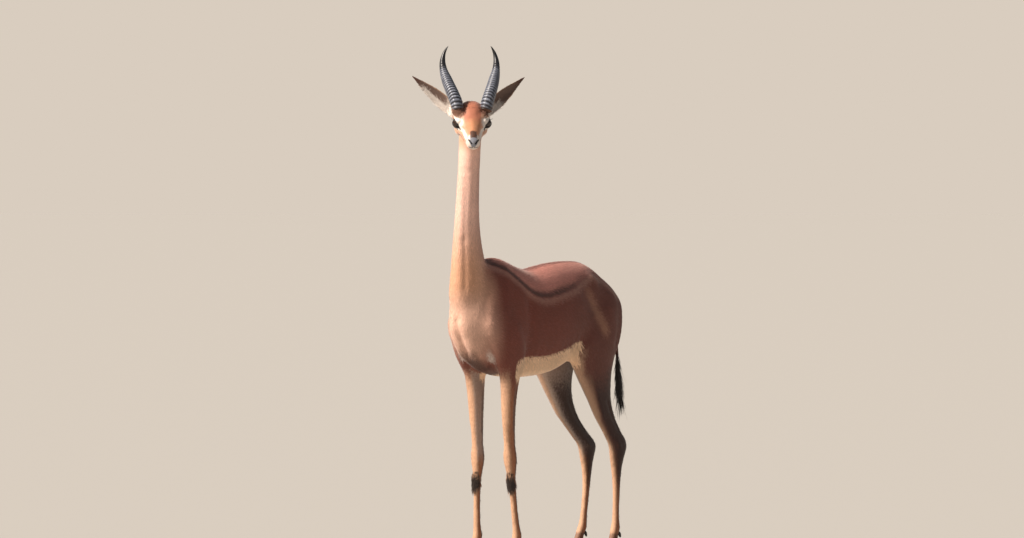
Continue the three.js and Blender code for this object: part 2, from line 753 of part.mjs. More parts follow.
// Materials by node
const COLOURS = {
  coat: { color: 0xa5633c, roughness: 0.82 },
  pale: { color: 0xd9a985, roughness: 0.85 },
  horn: { color: 0x2b2c33, roughness: 0.45 },
  hoof: { color: 0x231c19, roughness: 0.4 },
  eye: { color: 0x140d0a, roughness: 0.08 },
  dark: { color: 0x1d1512, roughness: 0.9 },
};
const finishOf = (name) => {
  if (name.startsWith("horn")) return COLOURS.horn;
  if (name.includes("hoof") || name.includes("dewclaw")) return COLOURS.hoof;
  if (name.startsWith("eye")) return COLOURS.eye;
  if (name === "tail_tuft") return COLOURS.dark;
  if (name === "neck") return COLOURS.pale;
  return COLOURS.coat;
};

// Solid back to a three.js mesh
function meshOf(name, body) {
  const { numProp, vertProperties, triVerts, numVert } = body.getMesh();
  const positions = new Float32Array(numVert * 3);
  for (let i = 0; i < numVert; i++) {
    const start = i * numProp;
    positions.set(vertProperties.subarray(start, start + 3), i * 3);
  }
  const geometry = new THREE.BufferGeometry();
  geometry.setAttribute("position", new THREE.BufferAttribute(positions, 3));
  geometry.setIndex(new THREE.BufferAttribute(triVerts, 1));
  geometry.computeVertexNormals();
  const mesh = new THREE.Mesh(geometry, new THREE.MeshStandardMaterial({ ...finishOf(name), metalness: 0 }));
  mesh.name = name;
  return mesh;
}

const gerenuk = new THREE.Group();
for (const [name, solidBody] of parts) gerenuk.add(meshOf(name, solidBody));

// The origin is on the floor, under the middle of the whole model
const bounds = new THREE.Box3().setFromObject(gerenuk);
const middle = bounds.getCenter(vec(0, 0, 0));
gerenuk.position.set(-middle.x, -middle.y, -bounds.min.z);

export default gerenuk;
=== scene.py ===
"""Life-size male gerenuk: one skin over the whole body, with eyes, horns, hooves and tufts of hair.

Shapes are worked out in millimetres in the body's own frame: the body faces -Y, its left is +X
and the floor is at z = 0. They are moved into the frame of the solids as each mesh is finished.
"""
import math

import bpy
import numpy as np
from mathutils import Matrix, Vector
from mathutils.kdtree import KDTree


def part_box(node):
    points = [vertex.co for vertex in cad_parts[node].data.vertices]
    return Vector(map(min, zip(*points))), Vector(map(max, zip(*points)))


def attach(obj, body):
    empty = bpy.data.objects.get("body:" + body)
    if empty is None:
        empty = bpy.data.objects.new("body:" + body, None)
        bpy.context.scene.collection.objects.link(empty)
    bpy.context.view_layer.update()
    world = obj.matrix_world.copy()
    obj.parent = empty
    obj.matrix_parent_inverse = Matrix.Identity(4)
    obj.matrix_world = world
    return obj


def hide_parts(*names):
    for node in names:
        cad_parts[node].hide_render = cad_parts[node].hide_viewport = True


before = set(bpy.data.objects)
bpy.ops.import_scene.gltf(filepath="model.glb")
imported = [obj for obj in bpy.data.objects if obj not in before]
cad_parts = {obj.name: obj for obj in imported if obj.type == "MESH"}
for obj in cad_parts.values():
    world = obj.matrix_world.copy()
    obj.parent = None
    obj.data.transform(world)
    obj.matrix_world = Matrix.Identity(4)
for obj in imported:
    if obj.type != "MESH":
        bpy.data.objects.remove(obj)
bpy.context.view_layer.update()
for name in ("Cube", "Camera", "Light"):
    if name in bpy.data.objects:
        bpy.data.objects.remove(bpy.data.objects[name])

# Driving sizes, in millimetres
COAT_DEPTH = 2.5
HEAD_YAW = math.radians(42)
HEAD_PITCH = math.radians(27.5)
EYES_MIDPOINT = np.array([83.0, -431.0, 1435.0])
EYE_PLACE = (4.0, 46.0, 1.0)  # forward, sideways, up from the eyes' midpoint
EYE_RADIUS = 16.0
LID_HALF_LENGTH = 15.6
UPPER_LID_HEIGHT = 9.9
LOWER_LID_HEIGHT = 6.6
LID_SLANT = 3.6  # the front corner of the eye lies lower
NECK_SEAM_Z = 1290.0  # the finer skin of the head begins here
BODY_GRAIN = 6.1  # edge of the skin's quads on the body
HEAD_GRAIN = 2.05
HORN_RINGS = 20
HORN_OVAL = 1.22
FOOT_SPREAD = 60  # from the animal's middle to the middle of each foot
CLAW_SPREAD = 10.6
LOCK_ROOT_DEPTH = 0.9
RINGED_SHARE = 0.80  # how far up a horn its rings reach
CORONET_SLOPE = 0.4
KEY_LIGHT = 6.9
WORLD_LIGHT = 0.18
rng = np.random.default_rng(7)

# Trunk sections from chest to rump: y, top z, bottom z, half width, z of the widest point
TRUNK = [
    (-408, 850, 775, 26, 812), (-392, 892, 744, 45, 812), (-365, 932, 704, 65, 808),
    (-330, 964, 667, 86, 800), (-290, 986, 641, 98, 795), (-250, 999, 623, 104, 788),
    (-210, 1000, 613, 107, 782), (-160, 985, 608, 109, 778), (-110, 969, 606, 112, 775),
    (-60, 961, 607, 115, 775), (0, 970, 611, 117, 778), (60, 979, 622, 115, 785),
    (110, 984, 641, 112, 795), (160, 986, 668, 109, 808), (210, 985, 700, 105, 822),
    (250, 974, 725, 100, 830), (290, 948, 745, 92, 832), (330, 918, 765, 78, 830),
    (365, 886, 785, 57, 825), (397, 852, 803, 24, 822),
]

# Neck sections from inside the chest to the poll: x, y, z, half width, half depth, share of yaw
NECK = [
    (0, -318, 840, 62, 92, 0), (0, -336, 900, 58, 90, 0), (0, -345, 950, 51, 79, 0.05),
    (0, -350, 1005, 46, 68, 0.1), (0, -353, 1060, 42, 59, 0.2), (3, -356, 1130, 39, 52, 0.35),
    (8, -358, 1210, 37.5, 48, 0.55), (14, -360, 1290, 37, 46, 0.75), (20, -363, 1355, 37.5, 45, 0.9),
    (27, -369, 1410, 38.5, 45, 1), (34, -377, 1455, 36, 42, 1), (40, -384, 1480, 25, 30, 1),
]

# Head sections from poll to nose: forward, top, bottom, half width, height of the widest point
HEAD = [
    (-98, 14, -18, 20, -2), (-90, 30, -38, 32, -2), (-74, 42, -54, 42, -2), (-52, 50, -64, 49, -4),
    (-30, 54, -67, 52, -4), (-10, 52, -64, 53, -2), (8, 44, -58, 50, -2), (26, 34, -56, 43, -8),
    (44, 25, -54, 36, -13), (62, 18, -52, 30.5, -16), (80, 12, -50, 26.5, -18),
    (96, 7, -47, 24, -20), (107, 2, -43, 21, -20), (115, -5, -37, 16, -20),
    (120, -12, -30, 9, -20),
]

# Horn centre line in the turned head's frame: sideways, back, z, radius
HORN = [
    (43, -2, 1470, 20), (50, 4, 1500, 20), (60, 24, 1528, 19.4), (69, 52, 1552, 18.4),
    (77, 84, 1576, 16.8), (84, 112, 1601, 13.2), (87, 131, 1630, 9.8), (83, 138, 1656, 6.2),
    (75, 135, 1674, 3.3), (69, 131, 1683, 1.1),
]

# Hair-covered bone under a horn, in the same frame
HORN_FOOT = [(29, -2, 1446, 25), (38, -2, 1462, 24), (44, -2, 1475, 22.5), (48, 1, 1490, 19)]
EAR_TIPS = {1: (177, 1583), -1: (187, 1586)}  # sideways and z

# Ear outline: share of its length, half width, depth of the cup
EAR = [
    (0, 18, 17), (0.1, 20.5, 17), (0.22, 23.5, 16), (0.34, 25.5, 14), (0.47, 24, 12),
    (0.6, 20, 9.5), (0.73, 14.5, 6.5), (0.85, 8.8, 3.6), (0.95, 4, 1.6), (1, 1.4, 0.6),
]

# Leg sections: z, x, half width, half depth
FORELEG = [
    (905, 56, 22, 38), (860, 65, 33, 66), (800, 70, 39, 84), (740, 74, 40, 88), (690, 76, 37, 79),
    (650, 76, 32.5, 64), (617, 75, 29, 46), (559, 72, 25, 35), (501, 70, 22, 30),
    (445, 68, 19.5, 27), (389, 66, 18.5, 24), (364, 65.5, 20, 24.5), (342, 65, 20.5, 24),
    (318, 64.5, 18, 21.5), (290, 64, 14.5, 17.5), (250, 63.5, 12.5, 15), (174, 62, 12, 14),
    (118, 61, 13, 15.5), (95, 60.5, 16, 19.5), (78, 60, 15.2, 18), (60, 60, 15.5, 18.5),
    (40, 60, 17.5, 21), (26, 60, 15, 18),
]
HINDLEG = [
    (935, 36, 20, 40), (914, 45, 34, 66), (874, 55, 44, 86), (829, 62, 50, 98), (771, 68, 51, 111),
    (720, 70, 50.5, 118), (674, 69, 48.5, 110), (624, 70, 43, 90), (573, 70, 35, 71),
    (523, 68, 27.5, 56), (470, 66, 23, 50), (425, 64, 20, 48), (392, 63, 18.5, 49),
    (367, 62, 18, 46), (345, 61.5, 18, 39), (318, 61, 17, 30), (286, 60, 14.5, 22.5),
    (230, 60, 12.5, 16.5), (160, 60, 12, 14.5), (118, 60, 13.2, 16), (95, 60, 16, 20),
    (78, 60, 15.2, 18.5), (60, 60, 15.5, 18.5), (40, 60, 17.5, 21), (26, 60, 15, 18),
]

# Stance of each leg: z, and the y of the leg's centre line there
STANCE = {
    ("foreleg", 1): [
        (905, -240), (800, -256), (690, -235), (617, -224), (501, -225), (389, -214), (342, -208),
        (290, -202), (174, -183), (118, -172), (95, -168), (60, -175), (26, -186),
    ],
    ("foreleg", -1): [
        (905, -240), (800, -256), (690, -233), (617, -217), (501, -215), (389, -215), (342, -214),
        (290, -218), (174, -223), (118, -223), (95, -222), (60, -231), (26, -242),
    ],
    ("hindleg", 1): [
        (935, 235), (874, 272), (829, 279), (771, 261), (720, 239), (674, 222), (624, 224),
        (573, 240), (523, 262), (470, 292), (425, 329), (392, 356), (367, 370), (318, 366),
        (230, 366), (118, 362), (95, 359), (60, 347), (26, 336),
    ],
    ("hindleg", -1): [
        (935, 235), (874, 272), (829, 277), (771, 255), (720, 228), (674, 205), (624, 198),
        (573, 210), (523, 231), (470, 264), (425, 307), (392, 342), (367, 364), (318, 362),
        (230, 358), (118, 341), (95, 334), (60, 316), (26, 303),
    ],
}

# Tail centre line: x, y, z, half width, half depth
TAIL = [
    (0, 372, 872, 15, 15), (0, 398, 862, 15, 15), (2, 417, 838, 14, 13), (5, 427, 800, 12, 11),
    (8, 431, 740, 9.5, 9), (10, 434, 670, 8, 7.5), (12, 438, 610, 7, 6.5), (13, 443, 560, 6, 6),
    (14, 448, 520, 4, 4),
]

# Line of the mouth on one side: forward, sideways, up
MOUTH = [
    (118, 0, -31.5), (113, 10, -31.5), (104, 19, -32), (92, 23, -33), (78, 26, -34), (62, 30, -34),
    (50, 34, -33),
]

# Slit of a nostril on one side: forward, sideways, up
NOSTRIL = [(107, 15.5, -8), (113, 11, -10.5), (117.5, 6, -16)]

# Claw sections: z, half width, reach to the toe, reach to the heel
CLAW = [
    (0, 9.2, 34.2, 23.4), (1.2, 9.9, 35.8, 24.6), (6, 10.1, 34.5, 25), (24, 9.7, 25, 25),
    (36, 9.3, 18, 24), (46, 8.9, 13, 22.5), (50, 7.5, 10, 19),
]

X, Y, Z = np.eye(3)


def unit(v):
    return v / np.linalg.norm(v)


# Head frame: forward along the face, sideways to the animal's left, up out of the brow
FACE = np.array([
    math.sin(HEAD_YAW) * math.cos(HEAD_PITCH),
    -math.cos(HEAD_YAW) * math.cos(HEAD_PITCH),
    -math.sin(HEAD_PITCH),
])
SIDE = np.array([math.cos(HEAD_YAW), math.sin(HEAD_YAW), 0.0])
BROW = np.cross(FACE, SIDE)
LEVEL_BACK = unit(np.array([-FACE[0], -FACE[1], 0.0]))


def on_head(forward, sideways, up):
    return EYES_MIDPOINT + forward * FACE + sideways * SIDE + up * BROW


def head_place(points):
    """Forward, sideways and up of points, in the head's frame."""
    away = points - EYES_MIDPOINT
    return away @ FACE, away @ SIDE, away @ BROW


def line_on_head(side, start, end):
    """Two places given as forward, sideways and up, on one side of the head."""
    return [on_head(forward, side * sideways, up) for forward, sideways, up in (start, end)]


def eye_centre(side):
    forward, sideways, up = EYE_PLACE
    return on_head(forward, side * sideways, up)


# The solids stand with their origin under the middle of their box
eye_low, eye_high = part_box("eye_left")
eye_middle = [(a + b) / 2 * 1000 for a, b in zip(eye_low, eye_high)]
SHIFT = np.array([eye_middle[0] - eye_centre(1)[0], eye_middle[1] - eye_centre(1)[1], 0.0])


def smooth_rows(rows, parts):
    """Rows of numbers with parts steps between neighbours, on a smooth curve through them."""
    rows = np.array(rows, float)
    out = []
    for i in range(len(rows) - 1):
        a, b, c, d = (rows[min(max(i + k, 0), len(rows) - 1)] for k in (-1, 0, 1, 2))
        for step in range(parts):
            t = step / parts
            out.append(0.5 * (
                2 * b + (c - a) * t + (2 * a - 5 * b + 4 * c - d) * t**2 + (3 * b - a - 3 * c + d) * t**3
            ))
    out.append(rows[-1])
    return np.array(out)


def along_leg(table, heights):
    """The y of a leg's centre line at heights, by smooth steps between the rows of its stance."""
    rows = smooth_rows(table, 8)[::-1]
    return np.interp(heights, rows[:, 0], rows[:, 1])


# Making pieces


def clear_selection():
    if bpy.context.object and bpy.context.object.mode != "OBJECT":
        bpy.ops.object.mode_set(mode="OBJECT")
    bpy.ops.object.select_all(action="DESELECT")


def choose(*pieces):
    clear_selection()
    for piece in pieces:
        piece.select_set(True)
    bpy.context.view_layer.objects.active = pieces[0]


def mesh_places(piece):
    """The vertices of a piece as its mesh holds them."""
    flat = np.empty(len(piece.data.vertices) * 3)
    piece.data.vertices.foreach_get("co", flat)
    return flat.reshape(-1, 3)


def places_of(piece):
    """The vertices of a piece, in millimetres, in the body's own frame."""
    return mesh_places(piece) * 1000 - SHIFT


def set_places(piece, places):
    flat = ((places + SHIFT) / 1000).ravel()
    piece.data.vertices.foreach_set("co", flat)
    piece.data.update()


def normals_of(piece):
    flat = np.empty(len(piece.data.vertices) * 3)
    piece.data.vertices.foreach_get("normal", flat)
    return flat.reshape(-1, 3)


def edges_of(piece):
    flat = np.empty(len(piece.data.edges) * 2, int)
    piece.data.edges.foreach_get("vertices", flat)
    return flat.reshape(-1, 2)


def ring_stack(name, sides, count):
    """A disc drawn out ring by ring, with the ring and the column that each vertex belongs to."""
    clear_selection()
    bpy.ops.mesh.primitive_circle_add(vertices=sides, radius=1, fill_type="NGON")
    piece = bpy.context.object
    piece.name = name
    bpy.ops.object.mode_set(mode="EDIT")
    bpy.ops.mesh.select_all(action="SELECT")
    for _ in range(count - 1):
        bpy.ops.mesh.extrude_region_move(TRANSFORM_OT_translate={"value": (0, 0, 1)})
    bpy.ops.object.mode_set(mode="OBJECT")
    start = mesh_places(piece)
    ring_number = np.rint(start[:, 2]).astype(int)
    column = np.rint(np.arctan2(start[:, 1], start[:, 0]) / (2 * np.pi) * sides).astype(int) % sides
    return piece, ring_number, column


def put_rings(piece, rings, ring_number, column):
    """Puts each ring of a stack in its place, and turns the faces outwards."""
    set_places(piece, np.array(rings)[ring_number, column])
    choose(piece)
    bpy.ops.object.mode_set(mode="EDIT")
    bpy.ops.mesh.select_all(action="SELECT")
    bpy.ops.mesh.normals_make_consistent(inside=False)
    bpy.ops.object.mode_set(mode="OBJECT")


def loft(name, rings):
    """A closed shell through rings of points."""
    piece, ring_number, column = ring_stack(name, len(rings[0]), len(rings))
    put_rings(piece, rings, ring_number, column)
    return piece


def angles(sides):
    return np.arange(sides) * 2 * np.pi / sides


def fuller(values, power):
    """Sines or cosines drawn out, so that an oval through them is squarer for a higher power."""
    return np.sign(values) * np.abs(values) ** (2 / power)


def oval(centre, across, up, half_width, upper, lower, sides, power=2.0):
    """A ring of points round a centre, with its own reach above and below."""
    angle = angles(sides)
    flat = fuller(np.cos(angle), power)
    tall = fuller(np.sin(angle), power)
    height = np.where(tall > 0, tall * upper, tall * lower)
    return centre + np.outer(flat * half_width, across) + np.outer(height, up)


def use_modifier(piece, kind, **settings):
    choose(piece)
    modifier = piece.modifiers.new(kind.lower(), kind)
    for key, value in settings.items():
        setattr(modifier, key, value)
    bpy.ops.object.modifier_apply(modifier=modifier.name)


def join_pieces(name, pieces):
    choose(*pieces)
    bpy.ops.object.join()
    joined = bpy.context.object
    joined.name = name
    return joined


def relax(piece, weight, times):
    """Evens out a mesh where the weight is above zero."""
    places = places_of(piece)
    edges = edges_of(piece)
    count = np.bincount(edges.ravel(), minlength=len(places))[:, None]
    weight = np.clip(weight, 0, 1)[:, None]
    for _ in range(times):
        total = np.zeros_like(places)
        for axis in range(3):
            total[:, axis] = np.bincount(edges[:, 0], places[edges[:, 1], axis], len(places))
            total[:, axis] += np.bincount(edges[:, 1], places[edges[:, 0], axis], len(places))
        places += weight * 0.6 * (total / np.maximum(count, 1) - places)
    set_places(piece, places)


def swell(piece, change):
    """Moves a mesh in or out along its normals, by a distance for each vertex."""
    set_places(piece, places_of(piece) + normals_of(piece) * change[:, None])


def ridge(points, start, end, radius, height, end_radius=None):
    """Height of a soft ridge or groove along the line from start to end."""
    start, end = np.array(start, float), np.array(end, float)
    line = end - start
    t = np.clip((points - start) @ line / max(line @ line, 1e-9), 0, 1)
    reach = radius + ((end_radius or radius) - radius) * t
    gap = np.linalg.norm(points - start - t[:, None] * line, axis=1)
    return height * np.exp(-((gap / reach) ** 2))


# Forms of the body


def trunk_rings(sides=60):
    rings = []
    for y, top, bottom, half, widest in smooth_rows(TRUNK, 3):
        d = COAT_DEPTH
        centre = np.array([0, y + d * np.sign(-y) * (abs(y) > 380), widest])
        rings.append(oval(centre, X, Z, half - d, top - widest - d, widest - bottom - d, sides, 2.15))
    return rings


def neck_rings(sides=48):
    rows = smooth_rows(NECK, 4)
    rings = []
    for i, (x, y, z, half, depth, share) in enumerate(rows):
        before, after = rows[max(i - 1, 0)], rows[min(i + 1, len(rows) - 1)]
        axis = unit(after[:3] - before[:3])
        yaw = HEAD_YAW * share
        front = unit(np.cross(axis, np.array([math.cos(yaw), math.sin(yaw), 0])))
        across = unit(np.cross(front, axis))
        d = COAT_DEPTH
        centre = np.array([x, y, z])
        rings.append(oval(centre, across, front, half - d, depth - d, depth - d, sides, 2.1))
    return rings


def head_rings(sides=64):
    rings = []
    for forward, top, bottom, half, mid in smooth_rows(HEAD, 4):
        d = COAT_DEPTH * (1 if forward < 60 else 0.4)
        pull = d * (1 if forward < -80 else -1 if forward > 110 else 0)
        centre = on_head(forward + pull, 0, mid)
        rings.append(oval(centre, SIDE, BROW, half - d, top - mid - d, mid - bottom - d, sides, 2.15))
    return rings


def leg_rings(kind, side, sides=32):
    sections = FORELEG if kind == "foreleg" else HINDLEG
    stance = STANCE[kind, side]
    rings = []
    for z, x, half, depth in smooth_rows(sections, 3):
        d = COAT_DEPTH * (1 if z > 380 else 0.5)
        centre = np.array([side * x, along_leg(stance, z), z])
        rings.append(oval(centre, X, -Y, half - d, depth - d, depth - d, sides, 2.1))
    return rings


def tail_rings(sides=20):
    rows = smooth_rows(TAIL, 4)
    rings = []
    for i, (x, y, z, half, depth) in enumerate(rows):
        before, after = rows[max(i - 1, 0)], rows[min(i + 1, len(rows) - 1)]
        axis = unit(np.array([0, after[1] - before[1], after[2] - before[2]]))
        front = np.cross(axis, X)
        rings.append(oval(np.array([x, y, z]), X, front, half - 2, depth - 2, depth - 2, sides))
    return rings


def ear_frame(side):
    """Root, tip, axis, opening and across directions of an ear."""
    reach, tip_z = EAR_TIPS[side]
    root = on_head(-80, side * 44, -14)
    tip = on_head(-118, side * reach, 0)
    tip[2] = tip_z
    axis = unit(tip - root)
    opening = np.array([FACE[0], FACE[1], -0.2]) + SIDE * side * 0.2
    opening = unit(opening - axis * (opening @ axis))
    across = unit(np.cross(axis, opening))
    return root, tip, axis, opening, across


def ear_rings(side, parts=5, half_count=15):
    root, tip, axis, opening, across = ear_frame(side)
    length = np.linalg.norm(tip - root)
    rings = []
    for t, width, cup in smooth_rows(EAR, parts):
        centre = root + axis * length * t - opening * 7 * math.sin(math.pi * t)
        thick = 5.2 - 1.6 * t
        s = np.linspace(-1, 1, half_count)
        depth = cup * (1 - s**2)
        edge = 1 - 0.45 * s**6
        back, hollow = depth + thick * 0.5 * edge, depth - thick * 0.5 * edge
        outer = centre + np.outer(s * width, across) - np.outer(back, opening)
        inner = centre + np.outer(s * (width - 0.6), across) - np.outer(hollow, opening)
        rings.append(np.vstack([outer, inner[::-1]]))
    return rings


def ball(name, centre, radii, turn=None, wide=24, high=16):
    """An oval ball; turn is a 3 by 3 of directions for its own axes."""
    clear_selection()
    bpy.ops.mesh.primitive_uv_sphere_add(segments=wide, ring_count=high, radius=1)
    piece = bpy.context.object
    piece.name = name
    local = mesh_places(piece) * np.array(radii)
    axes = np.eye(3) if turn is None else np.array(turn)
    set_places(piece, centre + local @ axes)
    return piece


def eye_frame(side):
    """Directions of an eye: back to front of the face, up, and out along its gaze."""
    out = unit(SIDE * side + FACE * 0.62 + BROW * 0.1)
    along = unit(FACE - out * (FACE @ out))
    up = unit(np.cross(out, along)) * side
    up = up if up @ BROW > 0 else -up
    return along, up, out


def lid_edge(angle):
    """Reach forward and lift of the almond line between the lids, at an angle round it."""
    reach = LID_HALF_LENGTH * math.cos(angle)
    height = UPPER_LID_HEIGHT if math.sin(angle) > 0 else LOWER_LID_HEIGHT
    lift = height * math.copysign(abs(math.sin(angle)) ** 0.85, math.sin(angle))
    return reach, lift - LID_SLANT * math.cos(angle)


def eye_opening(side, depth, grow=1.0, count=36):
    """Almond ring between the lids, at a depth out of the eye's centre."""
    along, up, out = eye_frame(side)
    ring = []
    for angle in angles(count):
        reach, lift = lid_edge(angle)
        ring.append(eye_centre(side) + along * reach * grow + up * lift * grow + out * depth)
    return ring


def tube(name, points, radii, sides=12):
    """A round rod along points; each point has its own radius."""
    points = np.array(points)
    rings = []
    for i, point in enumerate(points):
        axis = unit(points[min(i + 1, len(points) - 1)] - points[max(i - 1, 0)])
        helper = Z if abs(axis[2]) < 0.9 else X
        across = unit(np.cross(axis, helper))
        rings.append(oval(point, across, np.cross(axis, across), radii[i], radii[i], radii[i], sides))
    return loft(name, rings)


def horn_place(side, sideways, back, z):
    """A point of the horns, given in the turned head's level frame."""
    place = np.array([EYES_MIDPOINT[0], EYES_MIDPOINT[1], 0])
    place = place + SIDE * side * sideways + LEVEL_BACK * back
    place[2] = z
    return place


def horn_foot(side):
    """Points on the middle line of the hair-covered bone that a horn grows from."""
    return [horn_place(side, *row[:3]) for row in HORN_FOOT]


def head_forms():
    """The skull, muzzle, brows, cheeks, lids and ears, as shells that pass into each other."""
    forms = [loft("skull", head_rings()), loft("nape", neck_rings())]
    face_turn = (SIDE, FACE, BROW)
    for side in (1, -1):
        forms.append(loft("ear", ear_rings(side)))
        root, _, axis, opening, across = ear_frame(side)
        ear_root = root + axis * 5 - opening * 9
        forms.append(ball("ear_root", ear_root, (19, 13, 24), (across, opening, axis)))
        along, up, out = eye_frame(side)
        centre = eye_centre(side)
        forms.append(ball("brow", on_head(1, side * 40, 15), (11, 23, 9), face_turn))
        forms.append(ball("orbit", centre - out * 6, (26, 21, 17), (along, up, out)))
        forms.append(ball("lids", centre, (EYE_RADIUS + 2.1,) * 3, (along, up, out)))
        forms.append(ball("cheek", on_head(-34, side * 34, -36), (16, 32, 22), face_turn))
        forms.append(ball("nostril_wing", on_head(103, side * 9.5, -12), (8, 13, 9), face_turn))
        forms.append(ball("upper_lip", on_head(93, side * 12, -24), (10.5, 21, 11), face_turn))
        forms.append(tube("horn_foot", horn_foot(side), [row[3] - 1 for row in HORN_FOOT], 24))
    forms.append(ball("chin", on_head(91, 0, -37.5), (14, 20, 9.5), face_turn))
    return forms


def cut_away(piece, tool):
    """Cuts one closed shell out of another."""
    use_modifier(piece, "BOOLEAN", operation="DIFFERENCE", object=tool, solver="EXACT")
    choose(tool)
    bpy.ops.object.delete()


def cut_flat(piece, height, keep_above):
    """Cuts a shell at a level plane and leaves it open there."""
    choose(piece)
    level = float(height) / 1000
    bpy.ops.object.mode_set(mode="EDIT")
    bpy.ops.mesh.select_all(action="SELECT")
    bpy.ops.mesh.bisect(
        plane_co=(0, 0, level), plane_no=(0, 0, 1), clear_inner=keep_above, clear_outer=not keep_above,
    )
    bpy.ops.object.mode_set(mode="OBJECT")


def make_head_skin():
    head = join_pieces("head_skin", head_forms())
    use_modifier(head, "REMESH", mode="VOXEL", voxel_size=HEAD_GRAIN / 1000)
    places = places_of(head)
    relax(head, np.full(len(places), 0.8), 3)
    shape_head(head)
    for side in (1, -1):
        slit = [eye_opening(side, 6), eye_opening(side, 17), eye_opening(side, 30, 1.5)]
        cut_away(head, loft("slit", slit))
        socket = ball("socket", eye_centre(side), (EYE_RADIUS + 0.3,) * 3, eye_frame(side), 40, 24)
        cut_away(head, socket)
    cut_flat(head, NECK_SEAM_Z + 4, True)
    return head


def make_body_skin():
    forms = [loft("trunk", trunk_rings()), loft("neck_root", neck_rings()), loft("dock", tail_rings())]
    for kind, side in STANCE:
        forms.append(loft(kind, leg_rings(kind, side)))
    body = join_pieces("body_skin", forms)
    use_modifier(body, "REMESH", mode="VOXEL", voxel_size=BODY_GRAIN / 1000)
    shape_body(body)
    cut_flat(body, NECK_SEAM_Z - 4, False)
    return body


def close_neck_seam(skin):
    """Bridges the two open rims on the neck, and evens out the joint."""
    choose(skin)
    bpy.ops.object.mode_set(mode="EDIT")
    bpy.ops.mesh.select_mode(type="EDGE")
    bpy.ops.mesh.select_all(action="DESELECT")
    bpy.ops.mesh.select_non_manifold(
        extend=False, use_wire=False, use_boundary=True, use_multi_face=False,
        use_non_contiguous=False, use_verts=False,
    )
    bpy.ops.mesh.bridge_edge_loops()
    bpy.ops.mesh.select_mode(type="VERT")
    bpy.ops.mesh.select_all(action="SELECT")
    bpy.ops.mesh.normals_make_consistent(inside=False)
    bpy.ops.object.mode_set(mode="OBJECT")
    height = places_of(skin)[:, 2]
    relax(skin, np.exp(-(((height - NECK_SEAM_Z) / 14) ** 2)), 14)


def make_skin():
    skin = join_pieces("gerenuk_skin", [make_body_skin(), make_head_skin()])
    close_neck_seam(skin)
    choose(skin)
    bpy.ops.object.shade_smooth()
    return skin


def shape_head(head):
    """Raises and sinks the small forms of the face."""
    places = places_of(head)
    change = np.zeros(len(places))

    def mark(start, end, radius, height, end_radius=None):
        for side in (1, -1):
            change[:] += ridge(places, *line_on_head(side, start, end), radius, height, end_radius)

    mark((-6, 55, -17), (34, 38, -24), 9, 2.6)  # cheekbone
    mark((-52, 46, -30), (-24, 48, -46), 22, 3.5)  # jaw muscle
    mark((26, 40, -8), (42, 33, -15), 4.5, -2.6)  # gland before the eye
    mark((52, 26, -2), (88, 21, -8), 10, -2.4)  # hollow beside the bridge of the nose
    mark((40, 0, 27), (98, 0, 7), 9, 0.7)  # bridge of the nose
    mark((-26, 50, 22), (-22, 50, 8), 13, -4)  # temple
    mark((-60, 20, -60), (10, 16, -56), 16, -2)  # hollow between the jaws
    mark((50, 24, -44), (84, 20, -42), 8, 1.4)  # lower lip
    mark((117, 0, -20), (119, 0, -30), 1.8, -0.9)  # groove under the nose
    mark(NOSTRIL[0], NOSTRIL[1], 2.7, -5.0)  # nostril
    mark(NOSTRIL[1], NOSTRIL[2], 2.3, -3.6)
    mark((112, 15, -5), (103, 18, -9), 4.5, 1.4)  # nostril's wing
    mark((44, 30, 4), (20, 40, 12), 7, 1.6)  # ridge from the brow to the cheek
    mark((-4, 28, 47), (12, 20, 36), 9, -1.6)  # hollow under the horn
    for start, end in zip(MOUTH[:-1], MOUTH[1:]):
        mark(start, end, 1.5, -2.0)
    swell(head, change)
    relax(head, np.full(len(places), 0.25), 1)


def leg_place(points, kind, side):
    """Distance to the outside of a leg's centre line, and behind it; side may differ by point."""
    sections = FORELEG if kind == "foreleg" else HINDLEG
    rows = np.array(sections, float)[::-1]
    middle = np.interp(points[:, 2], rows[:, 0], rows[:, 1])
    left = along_leg(STANCE[kind, 1], points[:, 2])
    right = along_leg(STANCE[kind, -1], points[:, 2])
    return side * points[:, 0] - middle, points[:, 1] - np.where(np.asarray(side) > 0, left, right)


# Muscles and bones of one side: start, end, radius, height; mirrored to the other side
TRUNK_FORMS = [
    ((58, -225, 965), (90, -285, 800), 17, 3.5),
    ((56, -292, 935), (84, -338, 790), 14, 2.5),
    ((52, -312, 955), (80, -352, 840), 15, -3.5),
    ((82, -338, 778), (80, -332, 762), 26, 7),
    ((90, -225, 770), (92, -200, 690), 30, 6),
    ((100, -150, 860), (92, -160, 665), 20, -5),
    ((86, -182, 645), (86, -186, 632), 15, 5),
    ((28, -388, 765), (38, -335, 665), 24, 5),
    ((0, -410, 800), (0, -335, 640), 12, -4),
    ((98, 165, 875), (96, 185, 845), 40, -8),
    ((84, 150, 705), (66, 182, 662), 16, 4),
    ((84, 206, 930), (82, 214, 918), 19, 7),
    ((70, 285, 895), (88, 300, 850), 40, 4),
    ((104, 262, 826), (104, 266, 806), 26, 4),
    ((90, 322, 868), (108, 300, 715), 13, -4.5),
    ((82, 366, 815), (92, 330, 655), 11, -3.5),
    ((108, 190, 800), (110, 150, 700), 26, 4),
]

